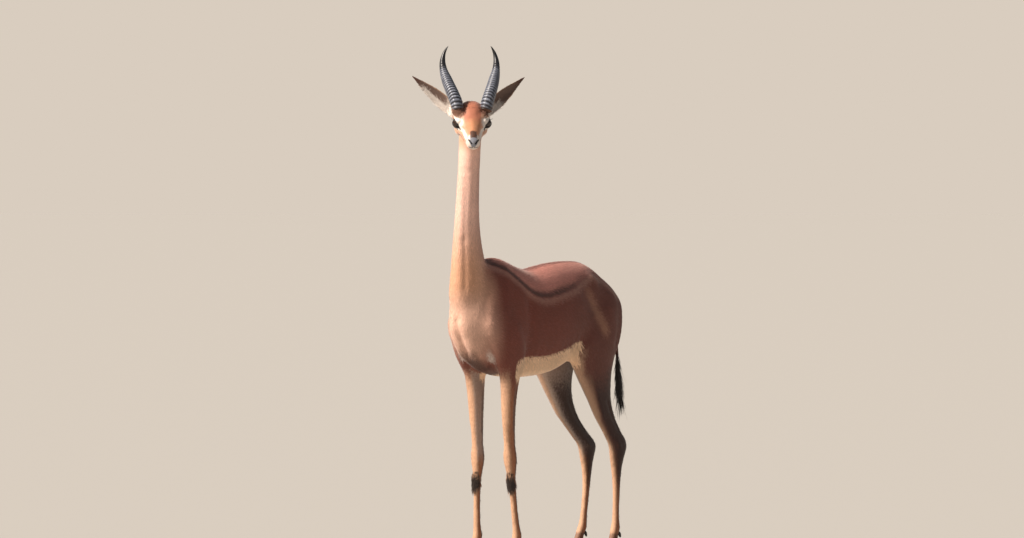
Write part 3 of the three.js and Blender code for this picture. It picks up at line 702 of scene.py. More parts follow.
# The same along the legs: kind, start and end as outside, behind and z, radius, height
LEG_FORMS = [
    ("hindleg", (30, -88, 655), (20, -80, 630), 22, 6),
    ("hindleg", (20, 14, 520), (15, 24, 425), 8, -3.5),
    ("hindleg", (-20, 14, 520), (-15, 24, 425), 8, -3.5),
    ("hindleg", (22, -34, 590), (16, -28, 480), 16, 3),
    ("hindleg", (17, -10, 385), (17, -8, 368), 9, 3),
    ("hindleg", (-17, -10, 385), (-17, -8, 368), 9, 3),
    ("hindleg", (0, 46, 398), (0, 45, 386), 9, 3),
    ("hindleg", (12, 5, 285), (11, 4, 130), 4, -1.2),
    ("hindleg", (-12, 5, 285), (-11, 4, 130), 4, -1.2),
    ("foreleg", (22, -14, 590), (16, -10, 470), 15, 3.5),
    ("foreleg", (22, 12, 580), (16, 10, 440), 6, -2.5),
    ("foreleg", (-20, 12, 580), (-16, 10, 440), 6, -2.5),
    ("foreleg", (12, -20, 362), (12, -20, 330), 8, 2),
    ("foreleg", (-12, -20, 362), (-12, -20, 330), 8, 2),
    ("foreleg", (0, 24, 352), (0, 22, 338), 8, 4),
    ("foreleg", (11, 5, 285), (11, 4, 130), 4, -1.2),
    ("foreleg", (-11, 5, 285), (-11, 4, 130), 4, -1.2),
]

# Cords of the neck of one side: start, end, radius, height
NECK_FORMS = [
    ((34, -405, 900), (27, -399, 1060), 10, -3),
    ((27, -399, 1060), (32, -394, 1290), 9, -2.4),
    ((50, -372, 930), (41, -372, 1060), 15, 2.5),
    ((41, -372, 1060), (44, -372, 1290), 12, 1.8),
    ((46, -325, 980), (40, -332, 1120), 12, -2),
]


# Where legs and neck flow into the trunk on one side: x, y, z and reach of the smoothing
JUNCTIONS = [
    (70, -240, 860, 120), (70, -200, 640, 60), (60, 250, 880, 120), (60, 150, 690, 90),
    (50, 330, 830, 90), (30, -340, 900, 90),
]

RIB_COUNT = 8
RIB_PITCH = 30
FIRST_RIB_Y = -105


def shape_body(body):
    """Raises the muscles and bones, and sinks the hollows between them."""
    places = places_of(body)
    junction = np.zeros(len(places))
    for side in (1, -1):
        for x, y, z, reach in JUNCTIONS:
            gap = np.linalg.norm(places - np.array([side * x, y, z]), axis=1)
            junction += np.exp(-((gap / reach) ** 2))
    relax(body, np.full(len(places), 0.7), 3)
    relax(body, junction, 16)
    places = places_of(body)
    change = np.zeros(len(places))
    for side in (1, -1):
        mirror = np.array([side, 1, 1])
        for start, end, radius, height in TRUNK_FORMS + NECK_FORMS:
            change += ridge(places, mirror * start, mirror * end, radius, height)
        for number in range(RIB_COUNT):
            y = FIRST_RIB_Y + RIB_PITCH * number
            top, bottom = (side * 92, y + 12, 880), (side * 100, y - 8, 700)
            change += ridge(places, top, bottom, 8, 1.8)
        for kind, start, end, radius, height in LEG_FORMS:
            outside, behind = leg_place(places, kind, side)
            near = np.stack([outside, behind, places[:, 2]], axis=1)
            apart = np.abs(behind) > 160
            change += np.where(apart, 0, ridge(near, start, end, radius, height))
    swell(body, change)
    relax(body, np.full(len(places), 0.4), 1)


# Separate hard pieces


def make_horn(side, name):
    """A ringed horn: full rings low down, fading to a smooth pointed tip."""
    rows = smooth_rows(HORN, 30)
    path = np.array([horn_place(side, *row[:3]) for row in rows])
    length = np.concatenate([[0], np.cumsum(np.linalg.norm(np.diff(path, axis=0), axis=1))])
    start, total = length[int(len(rows) * 0.03)], length[-1]
    sides, steps = 40, 230
    angle = angles(sides)
    rings = []
    bands = []
    for step in range(steps + 1):
        reach = start + (total - start) * step / steps
        row = [np.interp(reach, length, rows[:, k]) for k in range(4)]
        spot = horn_place(side, *row[:3])
        ahead = np.array([np.interp(min(reach + 2, total), length, path[:, k]) for k in range(3)])
        behind = np.array([np.interp(max(reach - 2, 0), length, path[:, k]) for k in range(3)])
        axis = unit(ahead - behind)
        deep = unit(LEVEL_BACK - axis * (LEVEL_BACK @ axis))
        across = unit(np.cross(deep, axis))
        share = (reach - start) / (total - start)
        fade = np.clip((RINGED_SHARE - share) / 0.16, 0, 1)
        lean = 0.16 * np.cos(angle) + 0.07 * np.sin(2 * angle + share * 9)
        turn = share / RINGED_SHARE * HORN_RINGS * (1.12 - 0.12 * share / RINGED_SHARE) + lean
        crest = np.abs(np.sin(np.pi * turn)) ** 0.7
        strong = 0.66 + 0.34 * np.clip(np.sin(angle) * 1.4, -0.6, 1)
        swollen = 1 + fade * 0.15 * strong * (crest - 0.6)
        furrow = 1 - 0.007 * np.sin(angle * 17) - 0.004 * np.sin(angle * 29 + share * 8)
        radius = np.maximum((row[3] - 0.3) * swollen * furrow, 0.5)
        wide, tall = np.cos(angle) * radius, np.sin(angle) * radius * HORN_OVAL
        rings.append(spot + np.outer(wide, across) + np.outer(tall, -deep))
        bands.append(crest * fade)
    horn, number, column = ring_stack(name, sides, len(rings))
    put_rings(horn, rings, number, column)
    choose(horn)
    bpy.ops.object.shade_smooth()
    write_mask(horn, "along", number / steps)
    write_mask(horn, "band", np.array(bands)[number, column])
    return horn


def make_claw(kind, side, offset, name):
    """One half of a hoof: flat sole, straight wall, rounded toe."""
    foot_y = along_leg(STANCE[kind, side], 34)
    centre_x = side * FOOT_SPREAD + offset
    rings = []
    for z, half, toe, heel in CLAW:
        angle = angles(36)
        flat = fuller(np.cos(angle), 2.5) * half
        tall = fuller(np.sin(angle), 2.2)
        reach = np.where(tall > 0, tall * toe, tall * heel)
        lean = -math.copysign(1.5, offset) * np.clip(reach / 36, 0, 1) ** 2
        rise = np.where(z > 40, CORONET_SLOPE * reach * 0.5, 0)
        ring = np.stack([centre_x + flat + lean, foot_y - reach, z + rise], axis=1)
        rings.append(ring)
    claw = loft(name, rings)
    use_modifier(claw, "SUBSURF", levels=1, render_levels=1)
    places = places_of(claw)
    places[:, 2] = np.maximum(places[:, 2], 0.0)
    set_places(claw, places)
    choose(claw)
    bpy.ops.object.shade_smooth()
    return claw


def make_dewclaw(kind, side, offset, name):
    """A small horny spur behind the fetlock, pointing down."""
    y = along_leg(STANCE[kind, side], 76) + 18
    start = np.array([side * FOOT_SPREAD + offset * 0.85, y - 3, 86])
    points = [start + np.array([0, 2.2 * t * 4, -20 * t]) for t in (0, 0.3, 0.6, 0.85, 1)]
    spur = tube(name, points, [3.6, 4.9, 4.9, 3.6, 1.6], 14)
    use_modifier(spur, "SUBSURF", levels=1, render_levels=1)
    choose(spur)
    bpy.ops.object.shade_smooth()
    return spur


def make_eye(side, name):
    """An eyeball with a clear bulge over the iris."""
    along, up, out = eye_frame(side)
    eye = ball(name, eye_centre(side), (1, 1, 1), (along, up, out), 64, 48)
    places = places_of(eye)
    away = places - eye_centre(side)
    gaze = away @ out
    bulge = 1 + 0.045 * np.clip((gaze - 0.62) / 0.38, 0, 1) ** 1.2
    set_places(eye, eye_centre(side) + away * EYE_RADIUS * bulge[:, None])
    write_mask(eye, "eye_along", away @ along)
    write_mask(eye, "eye_up", away @ up)
    choose(eye)
    bpy.ops.object.shade_smooth()
    return eye


# Markings


def write_mask(piece, name, values):
    """Keeps one number for each vertex under a name that the materials read."""
    layer = piece.data.attributes.get(name) or piece.data.attributes.new(name, "FLOAT", "POINT")
    layer.data.foreach_set("value", np.asarray(values, np.float32))


def curve_height(table, y):
    table = np.array(table, float)
    return np.interp(y, table[:, 0], table[:, 1])


# Lower edge of the dark saddle and upper edge of the pale belly: y, z
SADDLE_EDGE = [
    (-345, 1012), (-305, 992), (-280, 979), (-231, 957), (-192, 930), (-158, 903), (-124, 880),
    (-86, 870), (-45, 870), (15, 882), (62, 893), (105, 903), (150, 926), (200, 944), (250, 934),
    (300, 900), (345, 866), (380, 825), (400, 770),
]
BELLY_EDGE = [
    (-330, 600), (-250, 630), (-215, 672), (-150, 678), (-59, 677), (0, 688), (63, 707),
    (105, 722), (140, 722), (175, 690), (200, 640),
]


def ramp(values, low, high):
    return np.clip((values - low) / (high - low), 0, 1)


def least(*values):
    return np.minimum.reduce(np.broadcast_arrays(*values))


def most(*values):
    return np.maximum.reduce(np.broadcast_arrays(*values))


def near_line(points, start, end, radius):
    """One on a line, nought at its radius, minus one far away."""
    start, end = np.array(start, float), np.array(end, float)
    line = end - start
    t = np.clip((points - start) @ line / (line @ line), 0, 1)
    return np.clip(1 - np.linalg.norm(points - start - t[:, None] * line, axis=1) / radius, -1, 1)


def body_markings(points, facing):
    """Saddle with its dark edge, partly painted shade; nape line; pale belly and rump; the shades of the
    chest: its pale patches, partly painted highlight, and the dark brisket, partly painted shade;
    painted shade on the back of the neck; painted highlight on the haunch.
    """
    x, y, z = points.T
    marks = {}
    nape = 0.75 - np.abs(x - np.interp(z, [950, 1210, 1410], [0, 8, 27])) / 26
    behind = y - np.interp(z, [950, 1060, 1210, 1410], [-350, -353, -358, -369])
    nape = least(nape, (behind - 18) / 20)
    saddle = (z - curve_height(SADDLE_EDGE, y)) / 40
    saddle = np.where(z > 1003, nape, saddle)
    saddle = np.where((z > 950) & (y < -330), most(nape, -1), saddle)
    spine = least(0.9 - np.abs(x) / 34, (y - 210) / 40, (z - 850) / 20)
    marks["saddle"] = most(saddle, spine)
    # Painted shade: the back-facing side of the neck is darkened towards the flank's brown.
    marks["neck_back_painted_shade"] = least(facing[:, 1] + 0.30, (z - 960) / 120, (1440 - z) / 40)
    # Dark band along the saddle's lower edge: partly the saddle's own dark rim, partly painted shade.
    edge = least(ramp(saddle, -0.15, 0.10), 1 - ramp(saddle, 0.16, 0.72), ramp(1015 - z, 0, 40))
    marks["saddle_edge_and_shade"] = edge * (1 - 0.45 * ramp(y, 40, 160))
    side_x = np.abs(x)
    mirrored = np.stack([side_x, y, z], axis=1)
    # Painted highlight: a pale streak where light catches the front ridge of each haunch.
    marks["haunch_painted_highlight"] = near_line(mirrored, (105, 172, 885), (112, 232, 760), 34)
    marks["back_line"] = least(1.0 - np.abs(x) / 20, ramp(y, -330, -290) * 2 - 1, (z - 840) / 30)
    lowest = np.interp(y, [row[0] for row in TRUNK], [row[2] for row in TRUNK])
    _, behind_leg = leg_place(points, "hindleg", np.where(x < 0, -1, 1))
    thigh = np.array(HINDLEG[::-1], float)
    thigh_depth = np.interp(z, thigh[:, 0], thigh[:, 3])
    on_thigh = np.where(np.sign(x) * facing[:, 0] > 0.1, (-0.9 * thigh_depth - behind_leg) / 10, 1)
    below_edge = (curve_height(BELLY_EDGE, y) - z) / 30
    under = least(below_edge, (y + 228) / 16, (205 - y) / 24, (z - lowest + 9) / 6)
    marks["belly"] = most(least(under, on_thigh), -1)
    # Pale patch at the front of each shoulder: partly pale hair, partly painted highlight.
    marks["pale_chest_and_highlight"] = near_line(mirrored, (44, -326, 748), (58, -300, 680), 20)
    # Dark hair between the forelegs, partly painted shade: kept to the downward-facing underside of the
    # chest, with a line of painted shade down the crease at the front.
    dark_brisket_and_shade = near_line(mirrored, (0, -335, 656), (0, -235, 622), 46)
    groove = near_line(mirrored, (30, -360, 800), (22, -350, 690), 15) * 0.8
    marks["dark_brisket_and_shade"] = most(least(dark_brisket_and_shade * 1.6, 0.2 - facing[:, 2] * 1.4), groove)
    marks["rump"] = least((y - 332) / 20, (892 - z) / 55, (46 - side_x) / 20, (z - 620) / 60)
    marks["tail_dark"] = np.where(y > 405, (690 - z) / 50, -1)
    marks["tail"] = least((y - 395) / 8, (30 - side_x) / 8, (895 - z) / 20)
    return marks


def leg_markings(points, facing):
    """Pale fronts, partly painted highlight; white insides greyed as painted shade; dark backs and
    hocks, partly painted shade; and the black brushes on the knees.
    """
    x, y, z = points.T
    low_leg = np.where(y < 0, 650, np.interp(y, [200, 300], [700, 800]))
    # Inner sides: white hair greyed as painted shade; on the forelegs less of it shows, which leaves
    # them darker as painted shade.
    inner = -np.sign(x) * facing[:, 0]
    less_in_front = np.where(y < 0, 0.45, 0)
    inner = least((inner - 0.25) * 1.6 - less_in_front, (z - 330) / 90, (low_leg - z) / 30)
    marks = {"inner": inner}
    for name in ("leg_front_pale_and_highlight", "leg_back_dark_and_shade", "knee", "hock"):
        marks[name] = np.full(len(points), -1.0)
    for kind, side in STANCE:
        fore = kind == "foreleg"
        _, back = leg_place(points, kind, side)
        mine = (np.sign(x) == side) & (np.abs(back) < 130) & ((y < 30) if fore else (y > 30))
        mine &= z < (700 if fore else 760)
        top = 640 if fore else 700
        # Pale fronts of the legs: partly pale hair, partly painted highlight on the front-facing side.
        front = least(-facing[:, 1] * 1.3 - 0.45, (top - z) / 80)
        # Darker backs of the legs: partly dark hair, partly painted shade on the back-facing side.
        rear = least(facing[:, 1] * 1.2 - (0.10 if fore else 0.20), (top - 60 - z) / 80)
        marks["leg_front_pale_and_highlight"] = most(marks["leg_front_pale_and_highlight"], np.where(mine, front, -1))
        marks["leg_back_dark_and_shade"] = most(marks["leg_back_dark_and_shade"], np.where(mine, rear, -1))
        if fore:
            turned = np.arccos(np.clip(-facing[:, 1] + 0.15 * side * facing[:, 0], -1, 1))
            brush = 1 - np.hypot((z - 276) / 30, turned / 1.7)
            marks["knee"] = most(marks["knee"], np.where(mine, brush, -1))
        else:
            # Dark hock: partly dark hair, partly painted shade on its back-facing side.
            dark = least(1.15 - np.abs(z - 410) / 165, facing[:, 1] * 1.1 + 0.55)
            marks["hock"] = most(marks["hock"], np.where(mine, dark, -1))
    pastern = least((84 - z) / 14, 1)
    marks["pastern"] = most(pastern, -1)
    return marks


def face_markings(points):
    """Rufous blaze, pale eye ring and streak, dark lids and tear line, dark nose and mouth."""
    forward, sideways, up = head_place(points)
    sideways = np.abs(sideways)
    here = (points[:, 2] > 1325) & (forward > -105)
    marks = {}
    ring = 1.1 - np.hypot((forward - 7) / 31, (up - 3) / 21)
    ring = least(ring * 2, (sideways - 25) / 5)
    streak = near_line(np.stack([forward, sideways, up], 1), (26, 40, -4), (82, 24, -10), 10) * 1.5
    marks["eye_pale"] = most(ring, streak)
    width = np.interp(forward, [-70, -30, 0, 40, 70, 90, 104], [40, 35, 30, 24, 19, 14, 6])
    roof = np.interp(forward, [-70, 0, 40, 100], [6, 16, 6, -6])
    marks["blaze"] = least((width - sideways) / 9, (up - roof) / 9)
    marks["blaze_low"] = least(marks["blaze"] + 0.3, (forward - 26) / 26)
    marks["bridge"] = least((11 - sideways) / 5, (forward - 80) / 9, (up + 6) / 6)
    reach = np.interp(up, [-30, -24, -14, -4], [4.5, 7.5, 13.5, 12])
    marks["nose"] = least((forward - 107) / 3, (reach - sideways) / 3, (up + 29) / 3, (2 - up) / 4)
    muzzle = most((forward - 92) / 12, least((forward - 30) / 20, (-33 - up) / 5))
    marks["muzzle"] = least(muzzle, (16 - up) / 6 + (sideways - 13) / 4, (up + 70) / 8)
    marks["jaw"] = least((-44 - up) / 10, (forward + 40) / 30, (up + 66) / 6)
    marks["crown"] = least((forward * -1 + 6) / 30, (40 - sideways) / 12, (up - 22) / 10)
    horn_hair = np.full(len(points), -1.0)
    mouth = np.full(len(points), -1.0)
    lid = np.full(len(points), -1.0)
    for side in (1, -1):
        foot = horn_foot(side)
        ring = near_line(points, foot[1], foot[3], 32) * 3 - 0.3
        horn_hair = most(horn_hair, least(ring, (up - 22) / 10))
        for start, end in zip(MOUTH[:-1], MOUTH[1:]):
            mouth = most(mouth, ridge(points, *line_on_head(side, start, end), 1.9, 1.5) - 0.55)
        for start, end in zip(NOSTRIL[:-1], NOSTRIL[1:]):
            mouth = most(mouth, ridge(points, *line_on_head(side, start, end), 3.0, 1.8) - 0.7)
        along, rise, out = eye_frame(side)
        away = points - eye_centre(side)
        reach, lift, depth = away @ along, away @ rise, away @ out
        rim = 1 - np.hypot(reach / 20.3, (lift - 0.6 + reach * 0.24) / 13.2)
        corner = near_line(np.stack([reach, lift], 1), (15, -4), (24, -11), 3.4)
        lid = most(lid, np.where(depth > 0, most(rim * 4, corner * 2), -1))
    marks["horn_hair"], marks["mouth"], marks["lid"] = horn_hair, mouth, lid
    return {name: np.where(here, np.clip(values, -1, 1), -1) for name, values in marks.items()}


def ear_markings(points, facing):
    """Where the ears are, their dark inside (partly painted shade), their pale lower fringe (cut short
    on the left ear as painted shade) and dark tips.
    """
    names = ("ear", "ear_in_dark_and_shade", "ear_fringe", "ear_tip")
    marks = {name: np.full(len(points), -1.0) for name in names}
    for side in (1, -1):
        root, tip, axis, opening, across = ear_frame(side)
        length = np.linalg.norm(tip - root)
        away = points - root
        t = away @ axis / length
        width = np.interp(t, [row[0] for row in EAR], [row[1] for row in EAR])
        low = (away @ across) / width * np.sign(across[2]) * -1
        here = (t > 0.02) & (t < 1.06) & (np.abs(low) < 1.35)
        here &= np.linalg.norm(points - (root + tip) / 2, axis=1) < 120
        inward = facing @ opening
        # Dark inside of the ear: partly dark lining, partly painted shade in the cup.
        inside = least(inward * 2.5, (0.86 - np.abs(low)) * 4, (t - 0.12) * 5)
        # The pale fringe of the left ear stops short: painted shade inside that ear.
        outer_end = 0.80 if side < 0 else 0.42
        fringe = least(inward * 2 + 0.6, most((low - 0.12) * 2.4, (0.30 - t) * 3), (outer_end - t) * 3.5)
        dark = least((t - 0.80) * 6, 1)
        for name, values in zip(names, (1.0, inside, fringe, dark)):
            marks[name] = most(marks[name], np.where(here, np.clip(values, -1, 1), -1))
    return marks


def markings(points, facing):
    """Signed strengths of each marking, above nought inside it, for points on the skin."""
    marks = body_markings(points, facing)
    marks.update(leg_markings(points, facing))
    marks.update(face_markings(points))
    marks.update(ear_markings(points, facing))
    z = points[:, 2]
    on_the_head = np.clip((z - 1330) / 30, 0, 1)
    on_the_neck = np.clip((z - 1000) / 40, 0, 1) * (1 - on_the_head)
    marks["leg_share"] = np.clip((690 - z) / 60, 0, 1) + on_the_neck
    return marks


# Materials

COLOURS = {
    "neck": (0.82, 0.50, 0.395),
    "neck_low": (0.60, 0.31, 0.185),
    # Chest: pale hair, made lighter still as painted highlight.
    "chest": (0.74, 0.44, 0.32),
    # Flank and haunch: reddish-fawn hair darkened to deep brown as painted shade.
    "flank": (0.175, 0.042, 0.025),
    "haunch": (0.140, 0.044, 0.030),
    "saddle": (0.50, 0.195, 0.150),
    "dark": (0.034, 0.013, 0.010),
    "white": (0.76, 0.68, 0.61),
    "cream": (0.84, 0.56, 0.36),
    "tan": (0.40, 0.155, 0.068),
    "cheek": (0.56, 0.29, 0.175),
    "brown": (0.085, 0.032, 0.019),
    "black": (0.012, 0.009, 0.009),
    "rufous": (0.46, 0.165, 0.095),
    "amber": (0.56, 0.25, 0.12),
    # White hair of the inner legs, greyed as painted shade.
    "white_with_painted_shade": (0.46, 0.38, 0.33),
    "ear": (0.34, 0.20, 0.125),
    # Dark lining inside the ear, darkened further as painted shade in its cup.
    "ear_hollow_dark_and_shade": (0.125, 0.080, 0.066),
    # Nose: black wet skin painted grey-blue, a painted reflection and highlight.
    "nose": (0.27, 0.275, 0.31),
    "skin": (0.014, 0.011, 0.012),
}


def add_node(tree, kind, links=(), **settings):
    """A node with its settings, its plain values given by socket name, and its links."""
    node = tree.nodes.new(kind)
    for key, value in settings.items():
        if hasattr(node, key):
            setattr(node, key, value)
    for socket, source in dict(links).items():
        target = node.inputs[socket]
        if isinstance(source, bpy.types.NodeSocket):
            tree.links.new(source, target)
        else:
            target.default_value = source
    return node


def new_group(name, inputs, outputs):
    group = bpy.data.node_groups.new(name, "ShaderNodeTree")
    for label, kind, value in inputs:
        socket = group.interface.new_socket(label, in_out="INPUT", socket_type=kind)
        socket.default_value = value
    for label, kind in outputs:
        group.interface.new_socket(label, in_out="OUTPUT", socket_type=kind)
    return group, group.nodes.new("NodeGroupInput"), group.nodes.new("NodeGroupOutput")


def maths(tree, operation, a, b=0.0, clamp=False):
    node = add_node(tree, "ShaderNodeMath", operation=operation, use_clamp=clamp)
    for socket, source in zip(node.inputs, (a, b)):
        if isinstance(source, bpy.types.NodeSocket):
            tree.links.new(source, socket)
        else:
            socket.default_value = source
    return node.outputs[0]


def soft_step(tree, value, low, high):
    node = add_node(
        tree, "ShaderNodeMapRange", {"Value": value, "From Min": low, "From Max": high},
        interpolation_type="SMOOTHSTEP",
    )
    return node.outputs["Result"]


def blend_colour(tree, share, a, b):
    """Colour a where share is nought, and b where it is one."""
    node = add_node(tree, "ShaderNodeMix", data_type="RGBA")
    for index, source in ((0, share), (6, a), (7, b)):
        if isinstance(source, bpy.types.NodeSocket):
            tree.links.new(source, node.inputs[index])
        elif index == 0:
            node.inputs[index].default_value = source
        else:
            node.inputs[index].default_value = (*source, 1)
    return node.outputs[2]


def mask(tree, name):
    return add_node(tree, "ShaderNodeAttribute", attribute_name=name).outputs["Fac"]


def noise(tree, vector, scale, detail=3.0, rough=0.55):
    links = {"Vector": vector, "Scale": scale, "Detail": detail, "Roughness": rough}
    return add_node(tree, "ShaderNodeTexNoise", links).outputs["Fac"]


def swing(tree, value, amount):
    """A value that lies round a half, swung about nought by an amount instead."""
    return maths(tree, "MULTIPLY", maths(tree, "SUBTRACT", value, 0.5), amount)


def stretch(tree, vector, scale):
    return add_node(tree, "ShaderNodeMapping", {"Vector": vector, "Scale": scale}).outputs["Vector"]


def add_bump(tree, shader, height, strength, distance):
    links = {"Height": height, "Strength": strength, "Distance": distance}
    bump = add_node(tree, "ShaderNodeBump", links)
    tree.links.new(bump.outputs["Normal"], shader.inputs["Normal"])


def vary_roughness(tree, shader, value, low, high):
    """Roughness from low where the value is nought to high where it is one."""
    rough = add_node(tree, "ShaderNodeMapRange", {"Value": value, "To Min": low, "To Max": high})
    tree.links.new(rough.outputs["Result"], shader.inputs["Roughness"])


def make_hair_grain():
    """Fine lines of short hair: along the body on the trunk, and downwards on legs and neck."""
    group, given, result = new_group(
        "hair_grain", [("Scale", "NodeSocketFloat", 1.0)],
        [("Height", "NodeSocketFloat"), ("Fleck", "NodeSocketFloat"), ("Patch", "NodeSocketFloat")],
    )
    place = add_node(group, "ShaderNodeTexCoord").outputs["Object"]
    share = mask(group, "leg_share")
    heights = []
    for along_hair in ((1.0, 0.16, 1.0), (1.0, 1.0, 0.16)):
        scale = maths(group, "MULTIPLY", given.outputs["Scale"], 620.0)
        heights.append(noise(group, stretch(group, place, along_hair), scale, 2.0, 0.6))
    mixed = add_node(group, "ShaderNodeMix", data_type="FLOAT")
    group.links.new(share, mixed.inputs[0])
    group.links.new(heights[0], mixed.inputs[2])
    group.links.new(heights[1], mixed.inputs[3])
    group.links.new(mixed.outputs[0], result.inputs["Height"])
    group.links.new(swing(group, mixed.outputs[0], 1.0), result.inputs["Fleck"])
    group.links.new(noise(group, place, 9.0, 3.0), result.inputs["Patch"])
    return group


def make_coat_pattern(grain):
    """The coat's colours, some of them painted light and shade: each marking is laid over the last, with
    a hair-fine ragged edge.
    """
    group, given, result = new_group(
        "coat_pattern", [("Brightness", "NodeSocketFloat", 1.0)],
        [("Color", "NodeSocketColor"), ("Height", "NodeSocketFloat"), ("Bare", "NodeSocketFloat")],
    )
    place = add_node(group, "ShaderNodeTexCoord").outputs["Object"]
    hair = add_node(group, "ShaderNodeGroup", node_tree=grain)
    fleck, patch = hair.outputs["Fleck"], hair.outputs["Patch"]
    axes = add_node(group, "ShaderNodeSeparateXYZ", {"Vector": place})
    ragged = swing(group, noise(group, place, 160.0, 2.0), 0.6)
    wavy = swing(group, noise(group, place, 26.0, 2.0), 0.45)
    height, length = axes.outputs["Z"], axes.outputs["Y"]

    def over(colour, name, tint, share=1.0, low=-0.1, high=0.12, rough=1.0):
        """Lays a marking's tint over a colour, up to a share of it."""
        edge = maths(group, "MULTIPLY", ragged, rough)
        strength = soft_step(group, maths(group, "ADD", mask(group, name), edge), low, high)
        return blend_colour(group, maths(group, "MULTIPLY", strength, share), colour, COLOURS[tint])

    rear = soft_step(group, length, -0.02, 0.26)
    # Flank going into haunch behind: both colours carry painted shade.
    colour = blend_colour(group, rear, COLOURS["flank"], COLOURS["haunch"])
    # Chest in front, partly painted highlight.
    front = soft_step(group, length, -0.245, -0.365)
    colour = blend_colour(group, front, colour, COLOURS["chest"])
    neck_low = maths(group, "MULTIPLY", soft_step(group, height, 0.82, 0.92), front)
    colour = blend_colour(group, neck_low, colour, COLOURS["neck_low"])
    colour = blend_colour(group, soft_step(group, height, 0.94, 1.16), colour, COLOURS["neck"])
    # Painted shade on the back-facing side of the neck.
    colour = over(colour, "neck_back_painted_shade", "flank", 0.62, 0.1, 1.3)
    on_head = maths(group, "MULTIPLY", soft_step(group, height, 1.33, 1.38), 0.8)
    colour = blend_colour(group, on_head, colour, COLOURS["cheek"])
    # Tan lower legs, in front and behind: fading in from top to bottom and from near to far
    for top, bottom, near, far, share in ((0.64, 0.50, 0.06, 0.0, 0.85), (0.40, 0.26, 0.0, 0.06, 0.75)):
        low_leg = soft_step(group, height, top, bottom)
        low_leg = maths(group, "MULTIPLY", low_leg, soft_step(group, length, near, far))
        colour = blend_colour(group, maths(group, "MULTIPLY", low_leg, share), colour, COLOURS["tan"])
    cloudy = maths(group, "ADD", wavy, 0.04, clamp=True)
    cloudy = maths(group, "MULTIPLY", cloudy, soft_step(group, height, 1.0, 0.8))
    colour = blend_colour(group, cloudy, colour, COLOURS["brown"])
    # Painted highlight on the front ridge of the haunch.
    colour = over(colour, "haunch_painted_highlight", "cheek", 0.40, 0.0, 1.0)
    saddle = maths(group, "ADD", mask(group, "saddle"), maths(group, "MULTIPLY", wavy, 0.4))
    saddle = maths(group, "ADD", saddle, maths(group, "MULTIPLY", ragged, 0.4))
    below_it, above_it = soft_step(group, saddle, -0.9, -0.2), soft_step(group, saddle, 0.05, -0.2)
    under = maths(group, "MULTIPLY", below_it, above_it)
    colour = blend_colour(group, maths(group, "MULTIPLY", under, 0.20), colour, COLOURS["neck"])
    colour = blend_colour(group, soft_step(group, saddle, -0.12, 0.1), colour, COLOURS["saddle"])
    # Dark lower rim of the saddle, partly marking and partly painted shade.
    colour = over(colour, "saddle_edge_and_shade", "dark", 0.86, 0.05, 0.95, 0.5)
    colour = over(colour, "back_line", "dark", 0.45, -0.3, 0.8)
    # Pale leg fronts, partly painted highlight.
    colour = over(colour, "leg_front_pale_and_highlight", "cream", 0.42, -0.2, 0.6)
    # Inner legs: white greyed as painted shade.
    colour = over(colour, "inner", "white_with_painted_shade", 0.62, -0.2, 0.6)
    # Dark hocks, partly painted shade.
    colour = over(colour, "hock", "dark", 0.92, -0.25, 0.4)
    # Dark backs of the legs, partly painted shade.
    colour = over(colour, "leg_back_dark_and_shade", "dark", 0.82, -0.2, 0.5)
    # Dark brisket: partly dark hair, partly painted shade under the chest.
    colour = over(colour, "dark_brisket_and_shade", "brown", 0.80, -0.1, 0.9)
    # Pale shoulder patch, partly painted highlight.
    colour = over(colour, "pale_chest_and_highlight", "white", 0.62, -0.2, 0.8)
    colour = over(colour, "belly", "cream", 1.0, -0.12, 0.16)
    colour = over(colour, "rump", "white", 0.92)
    colour = over(colour, "tail", "haunch", 1.0)
    colour = over(colour, "knee", "black", 0.96, -0.15, 0.3, 1.4)
    colour = over(colour, "pastern", "brown", 0.7, -0.3, 0.6)
    colour = over(colour, "tail_dark", "black", 0.97, -0.3, 0.4, 1.5)
    colour = over(colour, "muzzle", "white", 0.85, -0.4, 0.5)
    colour = over(colour, "jaw", "white", 0.75, -0.4, 0.5)
    colour = over(colour, "eye_pale", "white", 0.96, -0.1, 0.35)
    colour = over(colour, "crown", "rufous", 0.9, -0.2, 0.4)
    colour = over(colour, "blaze", "rufous", 1.0, -0.2, 0.35)
    colour = over(colour, "blaze_low", "amber", 0.8, -0.2, 0.8)
    colour = over(colour, "horn_hair", "brown", 0.88, -0.2, 0.7, 1.6)
    colour = over(colour, "bridge", "dark", 0.9, -0.3, 0.5, 1.5)
    colour = over(colour, "ear", "ear", 1.0)
    # Dark ear insides, partly painted shade.
    colour = over(colour, "ear_in_dark_and_shade", "ear_hollow_dark_and_shade", 0.92, -0.1, 0.5)
    colour = over(colour, "ear_fringe", "white", 0.92, -0.1, 0.5)
    colour = over(colour, "ear_tip", "brown", 0.85, -0.3, 0.6)
    colour = over(colour, "lid", "skin", 1.0, -0.05, 0.25, 0.5)
